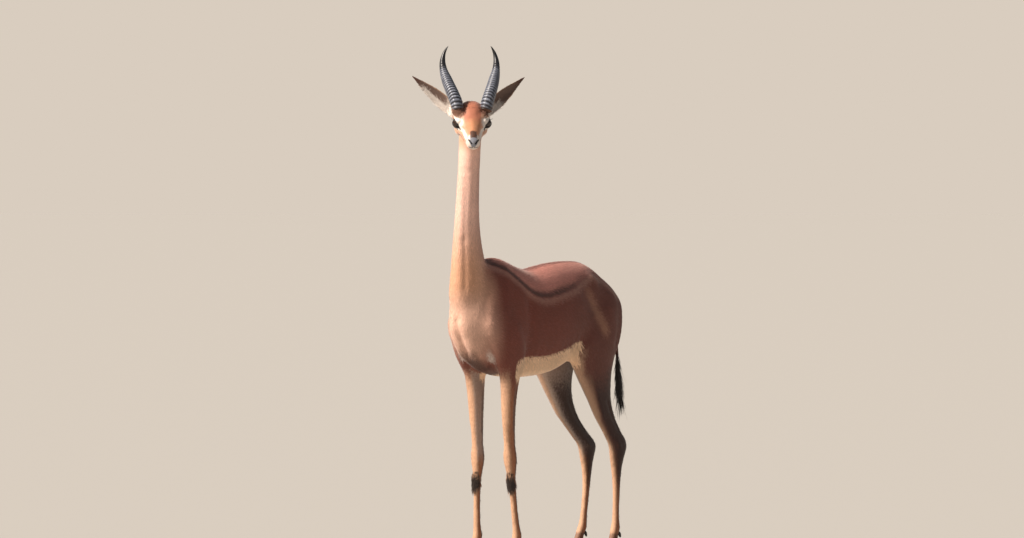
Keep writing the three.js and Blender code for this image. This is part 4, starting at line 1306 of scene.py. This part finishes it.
    # The bare nose takes the grey-blue nose colour, a painted reflection on wet black skin.
    nose = maths(group, "ADD", mask(group, "nose"), maths(group, "MULTIPLY", ragged, 0.4))
    bare = soft_step(group, nose, -0.2, 0.3)
    colour = blend_colour(group, bare, colour, COLOURS["nose"])
    colour = over(colour, "mouth", "skin", 1.0, -0.05, 0.3, 0.3)
    light = maths(group, "ADD", maths(group, "MULTIPLY", fleck, 0.62), 1.0)
    light = maths(group, "ADD", light, swing(group, patch, 0.30))
    light = maths(group, "MULTIPLY", light, given.outputs["Brightness"])
    shade = add_node(group, "ShaderNodeVectorMath", operation="SCALE")
    group.links.new(colour, shade.inputs[0])
    group.links.new(light, shade.inputs["Scale"])
    group.links.new(shade.outputs[0], result.inputs["Color"])
    group.links.new(hair.outputs["Height"], result.inputs["Height"])
    group.links.new(bare, result.inputs["Bare"])
    return group


def new_material(name, roughness):
    material = bpy.data.materials.new(name)
    material.use_nodes = True
    tree = material.node_tree
    shader = tree.nodes["Principled BSDF"]
    shader.inputs["Roughness"].default_value = roughness
    return material, tree, shader


def make_coat_material(pattern):
    material, tree, shader = new_material("short_coat", 0.62)
    shader.inputs["Sheen Weight"].default_value = 0.25
    shader.inputs["Sheen Roughness"].default_value = 0.4
    shader.inputs["Sheen Tint"].default_value = (1.0, 0.9, 0.8, 1)
    shader.inputs["Specular IOR Level"].default_value = 0.35
    coat = add_node(tree, "ShaderNodeGroup", node_tree=pattern)
    coat.inputs["Brightness"].default_value = 1.0
    tree.links.new(coat.outputs["Color"], shader.inputs["Base Color"])
    vary_roughness(tree, shader, coat.outputs["Bare"], 0.66, 0.34)
    add_bump(tree, shader, coat.outputs["Height"], 0.35, 0.0012)
    return material


def make_horn_material():
    """Dark ringed horn: pale blue-grey on the rings, black between them and towards the tip."""
    material, tree, shader = new_material("ringed_horn", 0.36)
    place = add_node(tree, "ShaderNodeTexCoord").outputs["Object"]
    along, band = mask(tree, "along"), mask(tree, "band")
    streaks = noise(tree, stretch(tree, place, (1, 1, 0.2)), 380, 3)
    blotch = noise(tree, place, 45.0, 3.0)
    lifted = maths(tree, "ADD", band, swing(tree, streaks, 0.7))
    on_ring = soft_step(tree, lifted, 0.35, 1.0)
    colour = blend_colour(tree, on_ring, (0.022, 0.021, 0.026), (0.135, 0.145, 0.18))
    worn = soft_step(tree, lifted, 0.80, 1.15)
    worn = maths(tree, "MULTIPLY", worn, soft_step(tree, blotch, 0.36, 0.6))
    colour = blend_colour(tree, worn, colour, (0.33, 0.35, 0.41))
    tip = soft_step(tree, maths(tree, "ADD", along, maths(tree, "MULTIPLY", blotch, 0.1)), 0.66, 0.86)
    colour = blend_colour(tree, tip, colour, (0.011, 0.010, 0.011))
    root = soft_step(tree, along, 0.05, 0.0)
    colour = blend_colour(tree, maths(tree, "MULTIPLY", root, 0.8), colour, (0.035, 0.022, 0.016))
    tree.links.new(colour, shader.inputs["Base Color"])
    vary_roughness(tree, shader, streaks, 0.26, 0.52)
    add_bump(tree, shader, streaks, 0.3, 0.0006)
    return material


def make_hoof_material():
    """Dark horny wall with growth lines across and fine lines down."""
    material, tree, shader = new_material("hoof_horn", 0.45)
    place = add_node(tree, "ShaderNodeTexCoord").outputs["Object"]
    across = noise(tree, stretch(tree, place, (0.25, 0.25, 3.0)), 160, 2)
    down = noise(tree, stretch(tree, place, (3, 3, 0.15)), 300, 2)
    growth = soft_step(tree, across, 0.35, 0.7)
    colour = blend_colour(tree, growth, (0.018, 0.014, 0.013), (0.040, 0.031, 0.027))
    colour = blend_colour(tree, soft_step(tree, down, 0.55, 0.75), colour, (0.055, 0.043, 0.037))
    tree.links.new(colour, shader.inputs["Base Color"])
    both = maths(tree, "ADD", across, maths(tree, "MULTIPLY", down, 0.5))
    add_bump(tree, shader, both, 0.35, 0.0008)
    return material


def make_eye_material():
    """Dark brown iris with a long level pupil, under a wet clear surface."""
    material, tree, shader = new_material("wet_eye", 0.06)
    shader.inputs["Coat Weight"].default_value = 0.6
    shader.inputs["Coat Roughness"].default_value = 0.03
    shader.inputs["Specular IOR Level"].default_value = 0.35
    along, up = mask(tree, "eye_along"), mask(tree, "eye_up")

    def squares(half_length, half_height):
        """Sum of the squares of the two reaches, one on an oval of that size."""
        long_part = maths(tree, "POWER", maths(tree, "DIVIDE", along, half_length), 2.0)
        high_part = maths(tree, "POWER", maths(tree, "DIVIDE", up, half_height), 2.0)
        return maths(tree, "ADD", long_part, high_part)

    from_middle = maths(tree, "SQRT", squares(1.0, 1.0))
    pupil = squares(0.40, 0.17)
    place = add_node(tree, "ShaderNodeTexCoord").outputs["Object"]
    fibres = noise(tree, place, 900.0, 2.0)
    iris = blend_colour(tree, fibres, (0.022, 0.010, 0.005), (0.060, 0.026, 0.011))
    iris = blend_colour(tree, soft_step(tree, from_middle, 0.60, 0.74), iris, (0.012, 0.007, 0.005))
    colour = blend_colour(tree, soft_step(tree, pupil, 1.1, 0.9), iris, (0.004, 0.003, 0.004))
    colour = blend_colour(tree, soft_step(tree, from_middle, 0.86, 0.97), colour, (0.20, 0.13, 0.10))
    tree.links.new(colour, shader.inputs["Base Color"])
    return material


def make_lock_material(pattern):
    """The coat's own colours on the locks, each a little lighter or darker, and paler at its tip."""
    material, tree, shader = new_material("hair_locks", 0.5)
    shader.inputs["Sheen Weight"].default_value = 0.2
    shader.inputs["Sheen Roughness"].default_value = 0.4
    shader.inputs["Specular IOR Level"].default_value = 0.4
    coat = add_node(tree, "ShaderNodeGroup", node_tree=pattern)
    tone = maths(tree, "ADD", maths(tree, "MULTIPLY", mask(tree, "lock_tone"), 0.30), 0.86)
    tip = maths(tree, "MULTIPLY", mask(tree, "lock_tip"), 0.10)
    tree.links.new(maths(tree, "ADD", tone, tip), coat.inputs["Brightness"])
    tree.links.new(coat.outputs["Color"], shader.inputs["Base Color"])
    return material


# Locks of the coat

LOCK_STEPS = np.array([0.0, 0.36, 0.72, 1.0])  # rings along a lock, the last one its tip
LOCK_WIDTHS = np.array([0.8, 1.0, 0.68, 0.0])
LOCK_RISE = np.array([0.0, 0.45, 0.8, 1.0])


def lock_row(name, count):
    """A mesh of count locks: three rings of three corners each, and a tip."""
    clear_selection()
    bpy.ops.mesh.primitive_circle_add(vertices=3, radius=1, fill_type="NGON")
    piece = bpy.context.object
    piece.name = name
    bpy.ops.object.mode_set(mode="EDIT")
    bpy.ops.mesh.select_all(action="SELECT")
    for _ in range(3):
        bpy.ops.mesh.extrude_region_move(TRANSFORM_OT_translate={"value": (0, 0, 1)})
    bpy.ops.mesh.merge(type="CENTER")
    bpy.ops.mesh.select_all(action="SELECT")
    bpy.ops.mesh.normals_make_consistent(inside=False)
    bpy.ops.object.mode_set(mode="OBJECT")
    start = mesh_places(piece)
    use_modifier(
        piece, "ARRAY", count=count, use_relative_offset=False, use_constant_offset=True,
        constant_offset_displace=(3, 0, 0),
    )
    ring = np.rint(start[:, 2]).astype(int)
    return piece, ring, np.arctan2(start[:, 1], start[:, 0])


def lie_of_coat(points, facing):
    """The way the hair lies: back along the body, down the neck and legs, from the nose to the nape."""
    x, y, z = points.T
    forward, sideways, up = head_place(points)
    head = ramp(z, 1325, 1375) * ramp(forward, -115, -80)
    neck = ramp(z, 930, 1030) * (1 - head)
    low = np.where(y < 30, 1 - ramp(z, 600, 720), 1 - ramp(z, 640, 860))
    chest = ramp(-y, 320, 385) * (1 - ramp(z, 930, 1030))
    haunch = ramp(y, 190, 300) * (1 - low)
    on_side = np.abs(facing[:, 0])
    trunk = np.stack([0 * x, 1 + 0 * x, -0.15 - 0.45 * on_side], 1)
    down = np.stack([0 * x, 0.12 + 0 * x, -1 + 0 * x], 1)
    back_down = np.stack([0 * x, 0.75 + 0 * x, -0.65 + 0 * x], 1)
    swept = -FACE + 0.25 * np.sign(sideways)[:, None] * SIDE - 0.2 * ramp(-up, 0, 30)[:, None] * BROW
    lie = trunk
    for share, way in ((haunch, back_down), (chest, down), (low, down), (neck, down), (head, swept)):
        lie = lie * (1 - share[:, None]) + way * share[:, None]
    for side in (1, -1):
        root, tip, axis = ear_frame(side)[:3]
        t = (points - root) @ axis / np.linalg.norm(tip - root)
        on_axis = root + np.outer(np.clip(t, 0, 1), tip - root)
        away = np.linalg.norm(points - on_axis, axis=1)
        share = (ramp(t, 0.02, 0.14) * (away < 45))[:, None]
        lie = lie * (1 - share) + axis * share
    tail = (ramp(y, 385, 410) * (np.abs(x - 6) < 26))[:, None]
    return lie * (1 - tail) + np.array([0, 0.1, -1]) * tail


# Length of the hair inside a marking, in millimetres
HAIR_LENGTHS = {
    "belly": 20, "rump": 24, "back_line": 19, "pale_chest_and_highlight": 19, "dark_brisket_and_shade": 20, "crown": 12,
    "horn_hair": 10, "ear": 6.5, "tail": 16, "pastern": 7,
}


def coat_length(points, marks):
    """Length of the hair at points of the skin, in millimetres: shortest on the face and the feet."""
    _, y, z = points.T
    forward = head_place(points)[0]
    body = np.interp(z, [60, 330, 560, 700, 1000, 1320], [6, 8, 11, 16, 14, 11])
    face = np.interp(forward, [-90, -40, 20, 70, 110], [10, 8.5, 6, 4.2, 3])
    length = np.where((z > 1340) & (forward > -100), face, body)
    for name, longer in HAIR_LENGTHS.items():
        share = ramp(marks[name], -0.1, 0.5)
        length = length * (1 - share) + longer * share
    thigh = ramp(y, 250, 330) * ramp(z, 520, 620) * (1 - ramp(z, 800, 860))
    return length * (1 + 0.45 * thigh)


class Skin:
    """The skin's triangles, facing and markings, and the nearest place on it to any point."""

    def __init__(self, piece, marks):
        self.places = places_of(piece)
        self.facing = normals_of(piece)
        self.marks = marks
        piece.data.calc_loop_triangles()
        flat = np.empty(len(piece.data.loop_triangles) * 3, int)
        piece.data.loop_triangles.foreach_get("vertices", flat)
        self.triangles = flat.reshape(-1, 3)
        a, b, c = (self.places[self.triangles[:, k]] for k in range(3))
        self.areas = np.linalg.norm(np.cross(b - a, c - a), axis=1) / 2
        self.tree = KDTree(len(self.places))
        for number, place in enumerate(self.places.tolist()):
            self.tree.insert(place, number)
        self.tree.balance()

    def scatter(self, weight, count):
        """Roots spread over the skin, more of them where the weight is higher."""
        heavy = self.areas * np.clip(weight, 0, None)[self.triangles].mean(axis=1)
        total = np.cumsum(heavy)
        spots = (np.arange(count) + rng.random(count)) / count * total[-1]
        chosen = self.triangles[np.minimum(np.searchsorted(total, spots), len(total) - 1)]
        share = rng.dirichlet((1, 1, 1), count)

        def mix(values):
            return np.einsum("ij,ij...->i...", share, values[chosen])

        facing = mix(self.facing)
        facing /= np.linalg.norm(facing, axis=1)[:, None]
        return mix(self.places), facing, {name: mix(values) for name, values in self.marks.items()}

    def hug(self, points, height):
        """Points moved to a height over the nearest place on the skin."""
        near = np.array([self.tree.find(point)[1] for point in points.tolist()])
        base, facing = self.places[near], self.facing[near]
        above = np.einsum("ij,ij->i", points - base, facing)
        return points + facing * (height - above)[:, None]


def across_the_skin(lie, facing, jitter):
    """The lie of the hair along the skin, turned a little at random."""
    along = lie - facing * np.einsum("ij,ij->i", lie, facing)[:, None]
    along /= np.maximum(np.linalg.norm(along, axis=1), 1e-6)[:, None]
    turn = rng.normal(0, jitter, len(along))[:, None]
    return along * np.cos(turn) + np.cross(facing, along) * np.sin(turn)


def unwrap(points, facing, region):
    """Place of a root on an unwrap of the skin: round each part, and along it."""
    x, y, z = points.T
    if region == "trunk":
        round_it = np.arctan2(x, z - 800) / (2 * np.pi) + 0.5
        return np.stack([(y + 430) / 900, round_it], 1)
    if region == "neck":
        round_it = np.arctan2(x - np.interp(z, [950, 1410], [0, 27]), y + 358) / (2 * np.pi) + 0.5
        return np.stack([(z - 880) / 560, round_it], 1)
    if region == "head":
        forward, sideways, up = head_place(points)
        return np.stack([(forward + 125) / 250, np.arctan2(sideways, up + 12) / (2 * np.pi) + 0.5], 1)
    if region == "ears":
        ear = []
        for side in (1, -1):
            root, _, axis, opening, across = ear_frame(side)
            away = points - root
            inner = (facing @ opening > 0) * 0.25
            round_it = (away @ across) / 300 + 0.125 + inner + (0.5 if side < 0 else 0)
            ear.append(np.stack([away @ axis / 200, round_it], 1))
        return np.where((sideways_of(points) > 0)[:, None], ear[0], ear[1])
    quarter = (x < 0) * 0.25 + (y > 30) * 0.5
    turn = np.arctan2(facing[:, 0], facing[:, 1]) / (2 * np.pi) + 0.5
    return np.stack([z / 800, quarter + turn * 0.24], 1)


def sideways_of(points):
    return head_place(points)[1]


def grow_locks(name, skin, lot, material, region, slot="coat"):
    """One mesh of locks: each lies along the skin from its root, and rises a little to its tip."""
    roots, facing, marks, along, length, width, lift, free = lot
    count = len(roots)
    piece, ring, angle = lock_row(name, count)
    side = np.cross(facing, along)
    centres = []
    for step, rise in zip(LOCK_STEPS, LOCK_RISE):
        height = -LOCK_ROOT_DEPTH + (lift + LOCK_ROOT_DEPTH) * rise
        straight = roots + along * (length * step)[:, None] + facing * height[:, None]
        if step > 0 and not free:
            straight = skin.hug(straight, height)
        centres.append(straight)
    centres = np.array(centres)
    flat = np.where(ring == 3, 0, np.cos(angle) / 0.866)
    tall = np.where(np.sin(angle) > 0.9, 1.0, 0.0)
    broad = LOCK_WIDTHS[ring] * flat / 2
    thick = LOCK_WIDTHS[ring] * tall * 0.2
    places = centres[ring].transpose(1, 0, 2)
    places = places + side[:, None, :] * (broad * width[:, None])[..., None]
    places = places + facing[:, None, :] * (thick * width[:, None])[..., None]
    set_places(piece, places.reshape(-1, 3))
    shine = facing[:, None, :] + side[:, None, :] * (flat * 0.32)[None, :, None]
    shine = (shine / np.linalg.norm(shine, axis=2)[..., None]).reshape(-1, 3)
    choose(piece)
    bpy.ops.object.shade_smooth()
    piece.data.normals_split_custom_set_from_vertices(shine.tolist())
    for label, values in marks.items():
        write_mask(piece, label, np.repeat(values, len(ring)))
    write_mask(piece, "lock_tone", np.repeat(rng.random(count), len(ring)))
    write_mask(piece, "lock_tip", np.tile(LOCK_STEPS[ring], count))
    write_bake_map(piece, unwrap(roots, facing, region), ring, flat)
    finish_piece(piece, material, slot)
    return piece


def write_bake_map(piece, spots, ring, flat):
    """A small patch for each lock, at its root's place on the unwrap."""
    while piece.data.uv_layers:
        piece.data.uv_layers.remove(piece.data.uv_layers[0])
    layer = piece.data.uv_layers.new(name="OFBake")
    patch = np.stack([LOCK_STEPS[ring] - 0.5, flat * 0.5], 1) * 0.003
    places = (np.clip(spots, 0.003, 0.997)[:, None, :] + patch[None]).reshape(-1, 2)
    corners = np.empty(len(piece.data.loops), int)
    piece.data.loops.foreach_get("vertex_index", corners)
    layer.data.foreach_set("uv", places[corners].ravel())


def coat_lot(skin, weight, count, longer=1.0, wide=0.16, rise=0.018, jitter=0.2):
    """Roots, lie and size of the ordinary locks of a region."""
    roots, facing, marks = skin.scatter(weight, count)
    length = coat_length(roots, marks) * longer * rng.uniform(0.7, 1.25, count)
    width = np.clip(length * wide * rng.uniform(0.8, 1.25, count), 0.6, 2.9)
    along = across_the_skin(lie_of_coat(roots, facing), facing, jitter)
    lift = 0.2 + length * rise * rng.uniform(0.4, 1.8, count)
    return roots, facing, marks, along, length, width, lift, False


def brush_lot(skin, weight, count, lengths, widths, lifts, jitter):
    """Longer hair that stands out more: a brush or a fringe."""
    roots, facing, marks = skin.scatter(weight, count)
    along = across_the_skin(lie_of_coat(roots, facing), facing, jitter)
    length, width, lift = (rng.uniform(low, high, count) for low, high in (lengths, widths, lifts))
    return roots, facing, marks, along, length, width, lift, False


def join_lots(*lots):
    """Several lots as one, all hugged to the skin or all free."""
    marks = {name: np.concatenate([lot[2][name] for lot in lots]) for name in lots[0][2]}
    parts = [np.concatenate([lot[k] for lot in lots]) for k in (0, 1, 3, 4, 5, 6)]
    return parts[0], parts[1], marks, parts[2], parts[3], parts[4], parts[5], lots[0][7]


def tail_tuft_lot(skin, count):
    """Long dark hair hanging from the lower tail, closing to a point."""
    x, y, z = skin.places.T
    weight = (y > 400) * (np.abs(x - 8) < 30) * (z > 500) * ramp(680 - z, 0, 60)
    roots, facing, marks = skin.scatter(weight, count)
    length = np.interp(roots[:, 2], [520, 600, 680], [88, 66, 34]) * rng.uniform(0.65, 1.15, count)
    along = facing * 0.16 + np.array([0.03, 0.06, -1]) + rng.normal(0, 0.07, (count, 3))
    along /= np.linalg.norm(along, axis=1)[:, None]
    marks["tail_dark"] = np.maximum(marks["tail_dark"], 0.2)
    width = rng.uniform(1.6, 2.8, count)
    return roots, facing, marks, along, length, width, rng.uniform(-1, 2.5, count), True


def lash_lot(skin, count):
    """Short black lashes along the edge of each upper lid."""
    roots, facing, along = [], [], []
    for side in (1, -1):
        ahead, up, out = eye_frame(side)
        for angle in np.linspace(0.35, 2.75, count // 2):
            reach, lift = lid_edge(angle)
            away = ahead * reach + up * (lift + 0.8) + out * 12.5
            roots.append(eye_centre(side) + away)
            facing.append(unit(up + out * 0.3))
            along.append(unit(out * 1.0 + up * 0.28 - ahead * 0.35 + ahead * 0.4 * math.cos(angle)))
    roots, facing, along = np.array(roots), np.array(facing), np.array(along)
    marks = {name: np.full(len(roots), -1.0) for name in skin.marks}
    marks["lid"] = np.ones(len(roots))
    length = rng.uniform(3.5, 6, len(roots))
    width, lift = np.full(len(roots), 0.7), np.full(len(roots), 0.4)
    return roots, facing, marks, along, length, width, lift, True


def make_coat(skin, material):
    """All the locks: the short coat region by region, then the brushes, fringes and tufts."""
    marks = skin.marks
    x, y, z = skin.places.T
    forward = head_place(skin.places)[0]
    on_ear = ramp(marks["ear"], -0.2, 0.4)
    on_head = ramp(z, 1335, 1352) * ramp(forward, -112, -98) * (1 - on_ear)
    on_tail = (y > 402) * (np.abs(x - 8) < 30) * (z > 500) * 1.0
    bare = ramp(marks["nose"], -0.3, 0.1) + ramp(marks["mouth"], -0.2, 0.2)
    bare = bare + ramp(marks["lid"], -0.25, 0.05)
    haired = np.clip(1 - bare, 0, 1)
    on_leg = np.where(y < 30, z < 640, z < 700) * 1.0
    trunk = (1 - on_leg) * (1 - ramp(z, 985, 1010)) * (1 - on_tail)
    neck = (1 - on_leg) * ramp(z, 985, 1010) * (1 - on_head) * (1 - on_ear)
    front, rear = trunk * (y < -40), trunk * (y >= -40)
    grow_locks("coat_forequarters", skin, coat_lot(skin, front, 11500), material, "trunk")
    grow_locks("coat_hindquarters", skin, coat_lot(skin, rear, 12300), material, "trunk")
    grow_locks("coat_neck", skin, coat_lot(skin, neck, 9500), material, "neck")
    grow_locks("coat_forelegs", skin, coat_lot(skin, on_leg * (y < 30), 6500), material, "legs")
    hind = on_leg * (y >= 30) * (1 - on_tail)
    grow_locks("coat_hindlegs", skin, coat_lot(skin, hind, 8500), material, "legs")
    face_weight = on_head * haired * np.interp(forward, [-80, 0, 110], [1, 1.6, 3])
    face = coat_lot(skin, face_weight, 12300, 1, 0.18, 0.02, 0.16)
    grow_locks("coat_head", skin, face, material, "head")
    outer_ear = coat_lot(skin, on_ear * (marks["ear_in_dark_and_shade"] < 0), 3400, 1, 0.17, 0.015, 0.14)
    inner_ear = coat_lot(skin, on_ear * (marks["ear_in_dark_and_shade"] >= 0), 900, 1.4, 0.1, 0.03, 0.2)
    edge_hair = on_ear * ramp(marks["ear_fringe"], 0, 0.3)
    fringe = brush_lot(skin, edge_hair, 520, (11, 24), (0.7, 1.2), (1.5, 6), 0.5)
    grow_locks("coat_ears", skin, join_lots(outer_ear, inner_ear, fringe), material, "ears")
    knees = brush_lot(skin, ramp(marks["knee"], 0.0, 0.5), 1500, (15, 30), (1.3, 2.3), (2.5, 9), 0.3)
    back_leg = ramp(marks["leg_back_dark_and_shade"], 0.2, 0.6) * (z < 560)
    feather = brush_lot(skin, back_leg, 900, (10, 17), (1.0, 1.8), (1.0, 3.5), 0.25)
    coronet = brush_lot(skin, (z < 62) * (z > 44) * 1.0, 700, (8, 14), (0.9, 1.5), (0.8, 2.4), 0.2)
    grow_locks("brushes_of_the_legs", skin, join_lots(knees, feather, coronet), material, "legs")
    under = ramp(marks["belly"], 0.0, 0.4) + ramp(marks["dark_brisket_and_shade"], 0, 0.4)
    under = under + ramp(marks["rump"], 0, 0.4) * (1 - on_tail)
    underside = brush_lot(skin, under * (1 - on_leg), 2600, (17, 30), (1.3, 2.2), (1.2, 5), 0.3)
    top = brush_lot(skin, ramp(marks["back_line"], 0, 0.4), 1300, (16, 25), (1.2, 2.0), (1.0, 3.2), 0.22)
    grow_locks("fringe_of_the_body", skin, join_lots(underside, top), material, "trunk")
    on_crown = on_head * haired * (ramp(marks["crown"], 0, 0.4) + ramp(marks["horn_hair"], 0, 0.4))
    brow_hair = brush_lot(skin, on_crown, 1500, (9, 16), (0.9, 1.5), (0.8, 3.2), 0.3)
    grow_locks("hair_of_the_crown", skin, brow_hair, material, "head")
    grow_locks("lashes", skin, lash_lot(skin, 56), material, "head")
    grow_locks("tail_hair", skin, coat_lot(skin, on_tail, 1400, 1, 0.12, 0.03, 0.2), material, "trunk")
    grow_locks("tail_tuft_hair", skin, tail_tuft_lot(skin, 900), material, "trunk", "tuft")


# Setting


def aim(thing, start, target):
    """Places a camera or lamp and turns it to look at a point."""
    start, target = np.array(start), np.array(target)
    away = unit(start - target)
    across = unit(np.cross(Z, away))
    up = np.cross(away, across)
    turn = Matrix(np.stack([across, up, away], axis=1).tolist()).to_4x4()
    thing.matrix_world = Matrix.Translation(start.tolist()) @ turn


def direction(turn, height):
    """The way to a thing: degrees round from the animal's front to its left, and degrees up."""
    turn, height = math.radians(turn), math.radians(height)
    level = math.cos(height)
    return np.array([math.sin(turn) * level, -math.cos(turn) * level, math.sin(height)])


def make_camera():
    """The camera stands low, twenty metres off, in front of the animal's left shoulder."""
    distance = 20.0
    toward = direction(38, 3.5)
    across = unit(np.cross(Z, toward))
    up = np.cross(toward, across)
    metres_each_pixel = 0.00328
    middle_right, middle_up = 512 - 534.2, 562 - 269
    ground = SHIFT / 1000
    target = ground + (across * middle_right + up * middle_up) * metres_each_pixel
    clear_selection()
    bpy.ops.object.camera_add()
    camera = bpy.context.object
    camera.data.lens = 36 / 1024 * distance / metres_each_pixel
    camera.data.sensor_width = 36
    camera.data.clip_end = 300
    aim(camera, ground + toward * distance, target)
    bpy.context.scene.camera = camera


def make_lamp(name, strength, softness, turn, height, colour):
    """A far lamp, softer the wider its angle, seen from the animal at a turn and a height."""
    clear_selection()
    bpy.ops.object.light_add(type="SUN")
    lamp = bpy.context.object
    lamp.name = name
    lamp.data.energy = strength
    lamp.data.angle = math.radians(softness)
    lamp.data.color = colour
    aim(lamp, direction(turn, height) * 8, np.zeros(3))


def make_floor():
    clear_selection()
    bpy.ops.mesh.primitive_plane_add(size=900)
    floor = bpy.context.object
    floor.name = "floor"
    material, _, shader = new_material("pale_floor", 0.95)
    shader.inputs["Base Color"].default_value = (0.46, 0.435, 0.40, 1)
    shader.inputs["Specular IOR Level"].default_value = 0.1
    floor.data.materials.append(material)


def make_world():
    """Soft light from all round; the camera itself sees a plain pale tone that meets the floor's."""
    world = bpy.data.worlds.new("studio")
    world.use_nodes = True
    tree = world.node_tree
    glow = tree.nodes["Background"]
    glow.inputs["Color"].default_value = (0.90, 0.95, 1.0, 1)
    glow.inputs["Strength"].default_value = WORLD_LIGHT
    seen = add_node(tree, "ShaderNodeBackground", {"Color": (0.694, 0.610, 0.521, 1), "Strength": 1.0})
    path = add_node(tree, "ShaderNodeLightPath")
    both = add_node(tree, "ShaderNodeMixShader")
    tree.links.new(path.outputs["Is Camera Ray"], both.inputs[0])
    tree.links.new(glow.outputs[0], both.inputs[1])
    tree.links.new(seen.outputs[0], both.inputs[2])
    tree.links.new(both.outputs[0], tree.nodes["World Output"].inputs["Surface"])
    bpy.context.scene.world = world


def make_setting():
    make_floor()
    make_world()
    make_lamp("key", KEY_LIGHT, 14, -32, 38, (1.0, 0.91, 0.82))
    make_lamp("fill", 0.14, 60, 105, 50, (0.84, 0.87, 1.0))
    bpy.context.scene.view_settings.view_transform = "Standard"


# Putting the animal together


def finish_piece(piece, material, slot, *nodes):
    piece.data.materials.clear()
    piece.data.materials.append(material)
    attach(piece, "root")
    if nodes:
        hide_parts(*nodes)


def flesh_nodes():
    hard = ("horn", "eye", "forehoof", "hindhoof", "foredewclaw", "hinddewclaw")
    return [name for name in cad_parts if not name.startswith(hard)]


def make_gerenuk():
    skin = make_skin()
    places, facing = places_of(skin), normals_of(skin)
    marks = markings(places, facing)
    for name, values in marks.items():
        write_mask(skin, name, values)
    pattern = make_coat_pattern(make_hair_grain())
    finish_piece(skin, make_coat_material(pattern), "coat", *flesh_nodes())
    make_coat(Skin(skin, marks), make_lock_material(pattern))
    horn_finish, hoof_finish = make_horn_material(), make_hoof_material()
    eye_finish = make_eye_material()
    for side, word in ((1, "left"), (-1, "right")):
        finish_piece(make_horn(side, "horn_" + word + "_ringed"), horn_finish, "horn", "horn_" + word)
        finish_piece(make_eye(side, "eyeball_" + word), eye_finish, "eye", "eye_" + word)
        for kind, short in (("foreleg", "fore"), ("hindleg", "hind")):
            for where, offset in (("outer", side * CLAW_SPREAD), ("inner", -side * CLAW_SPREAD)):
                ending = word + "_" + where
                claw = make_claw(kind, side, offset, short + "_claw_" + ending)
                finish_piece(claw, hoof_finish, "hoof", short + "hoof_" + ending)
                spur = make_dewclaw(kind, side, offset, short + "_spur_" + ending)
                finish_piece(spur, hoof_finish, "hoof", short + "dewclaw_" + ending)


make_camera()
make_setting()
make_gerenuk()
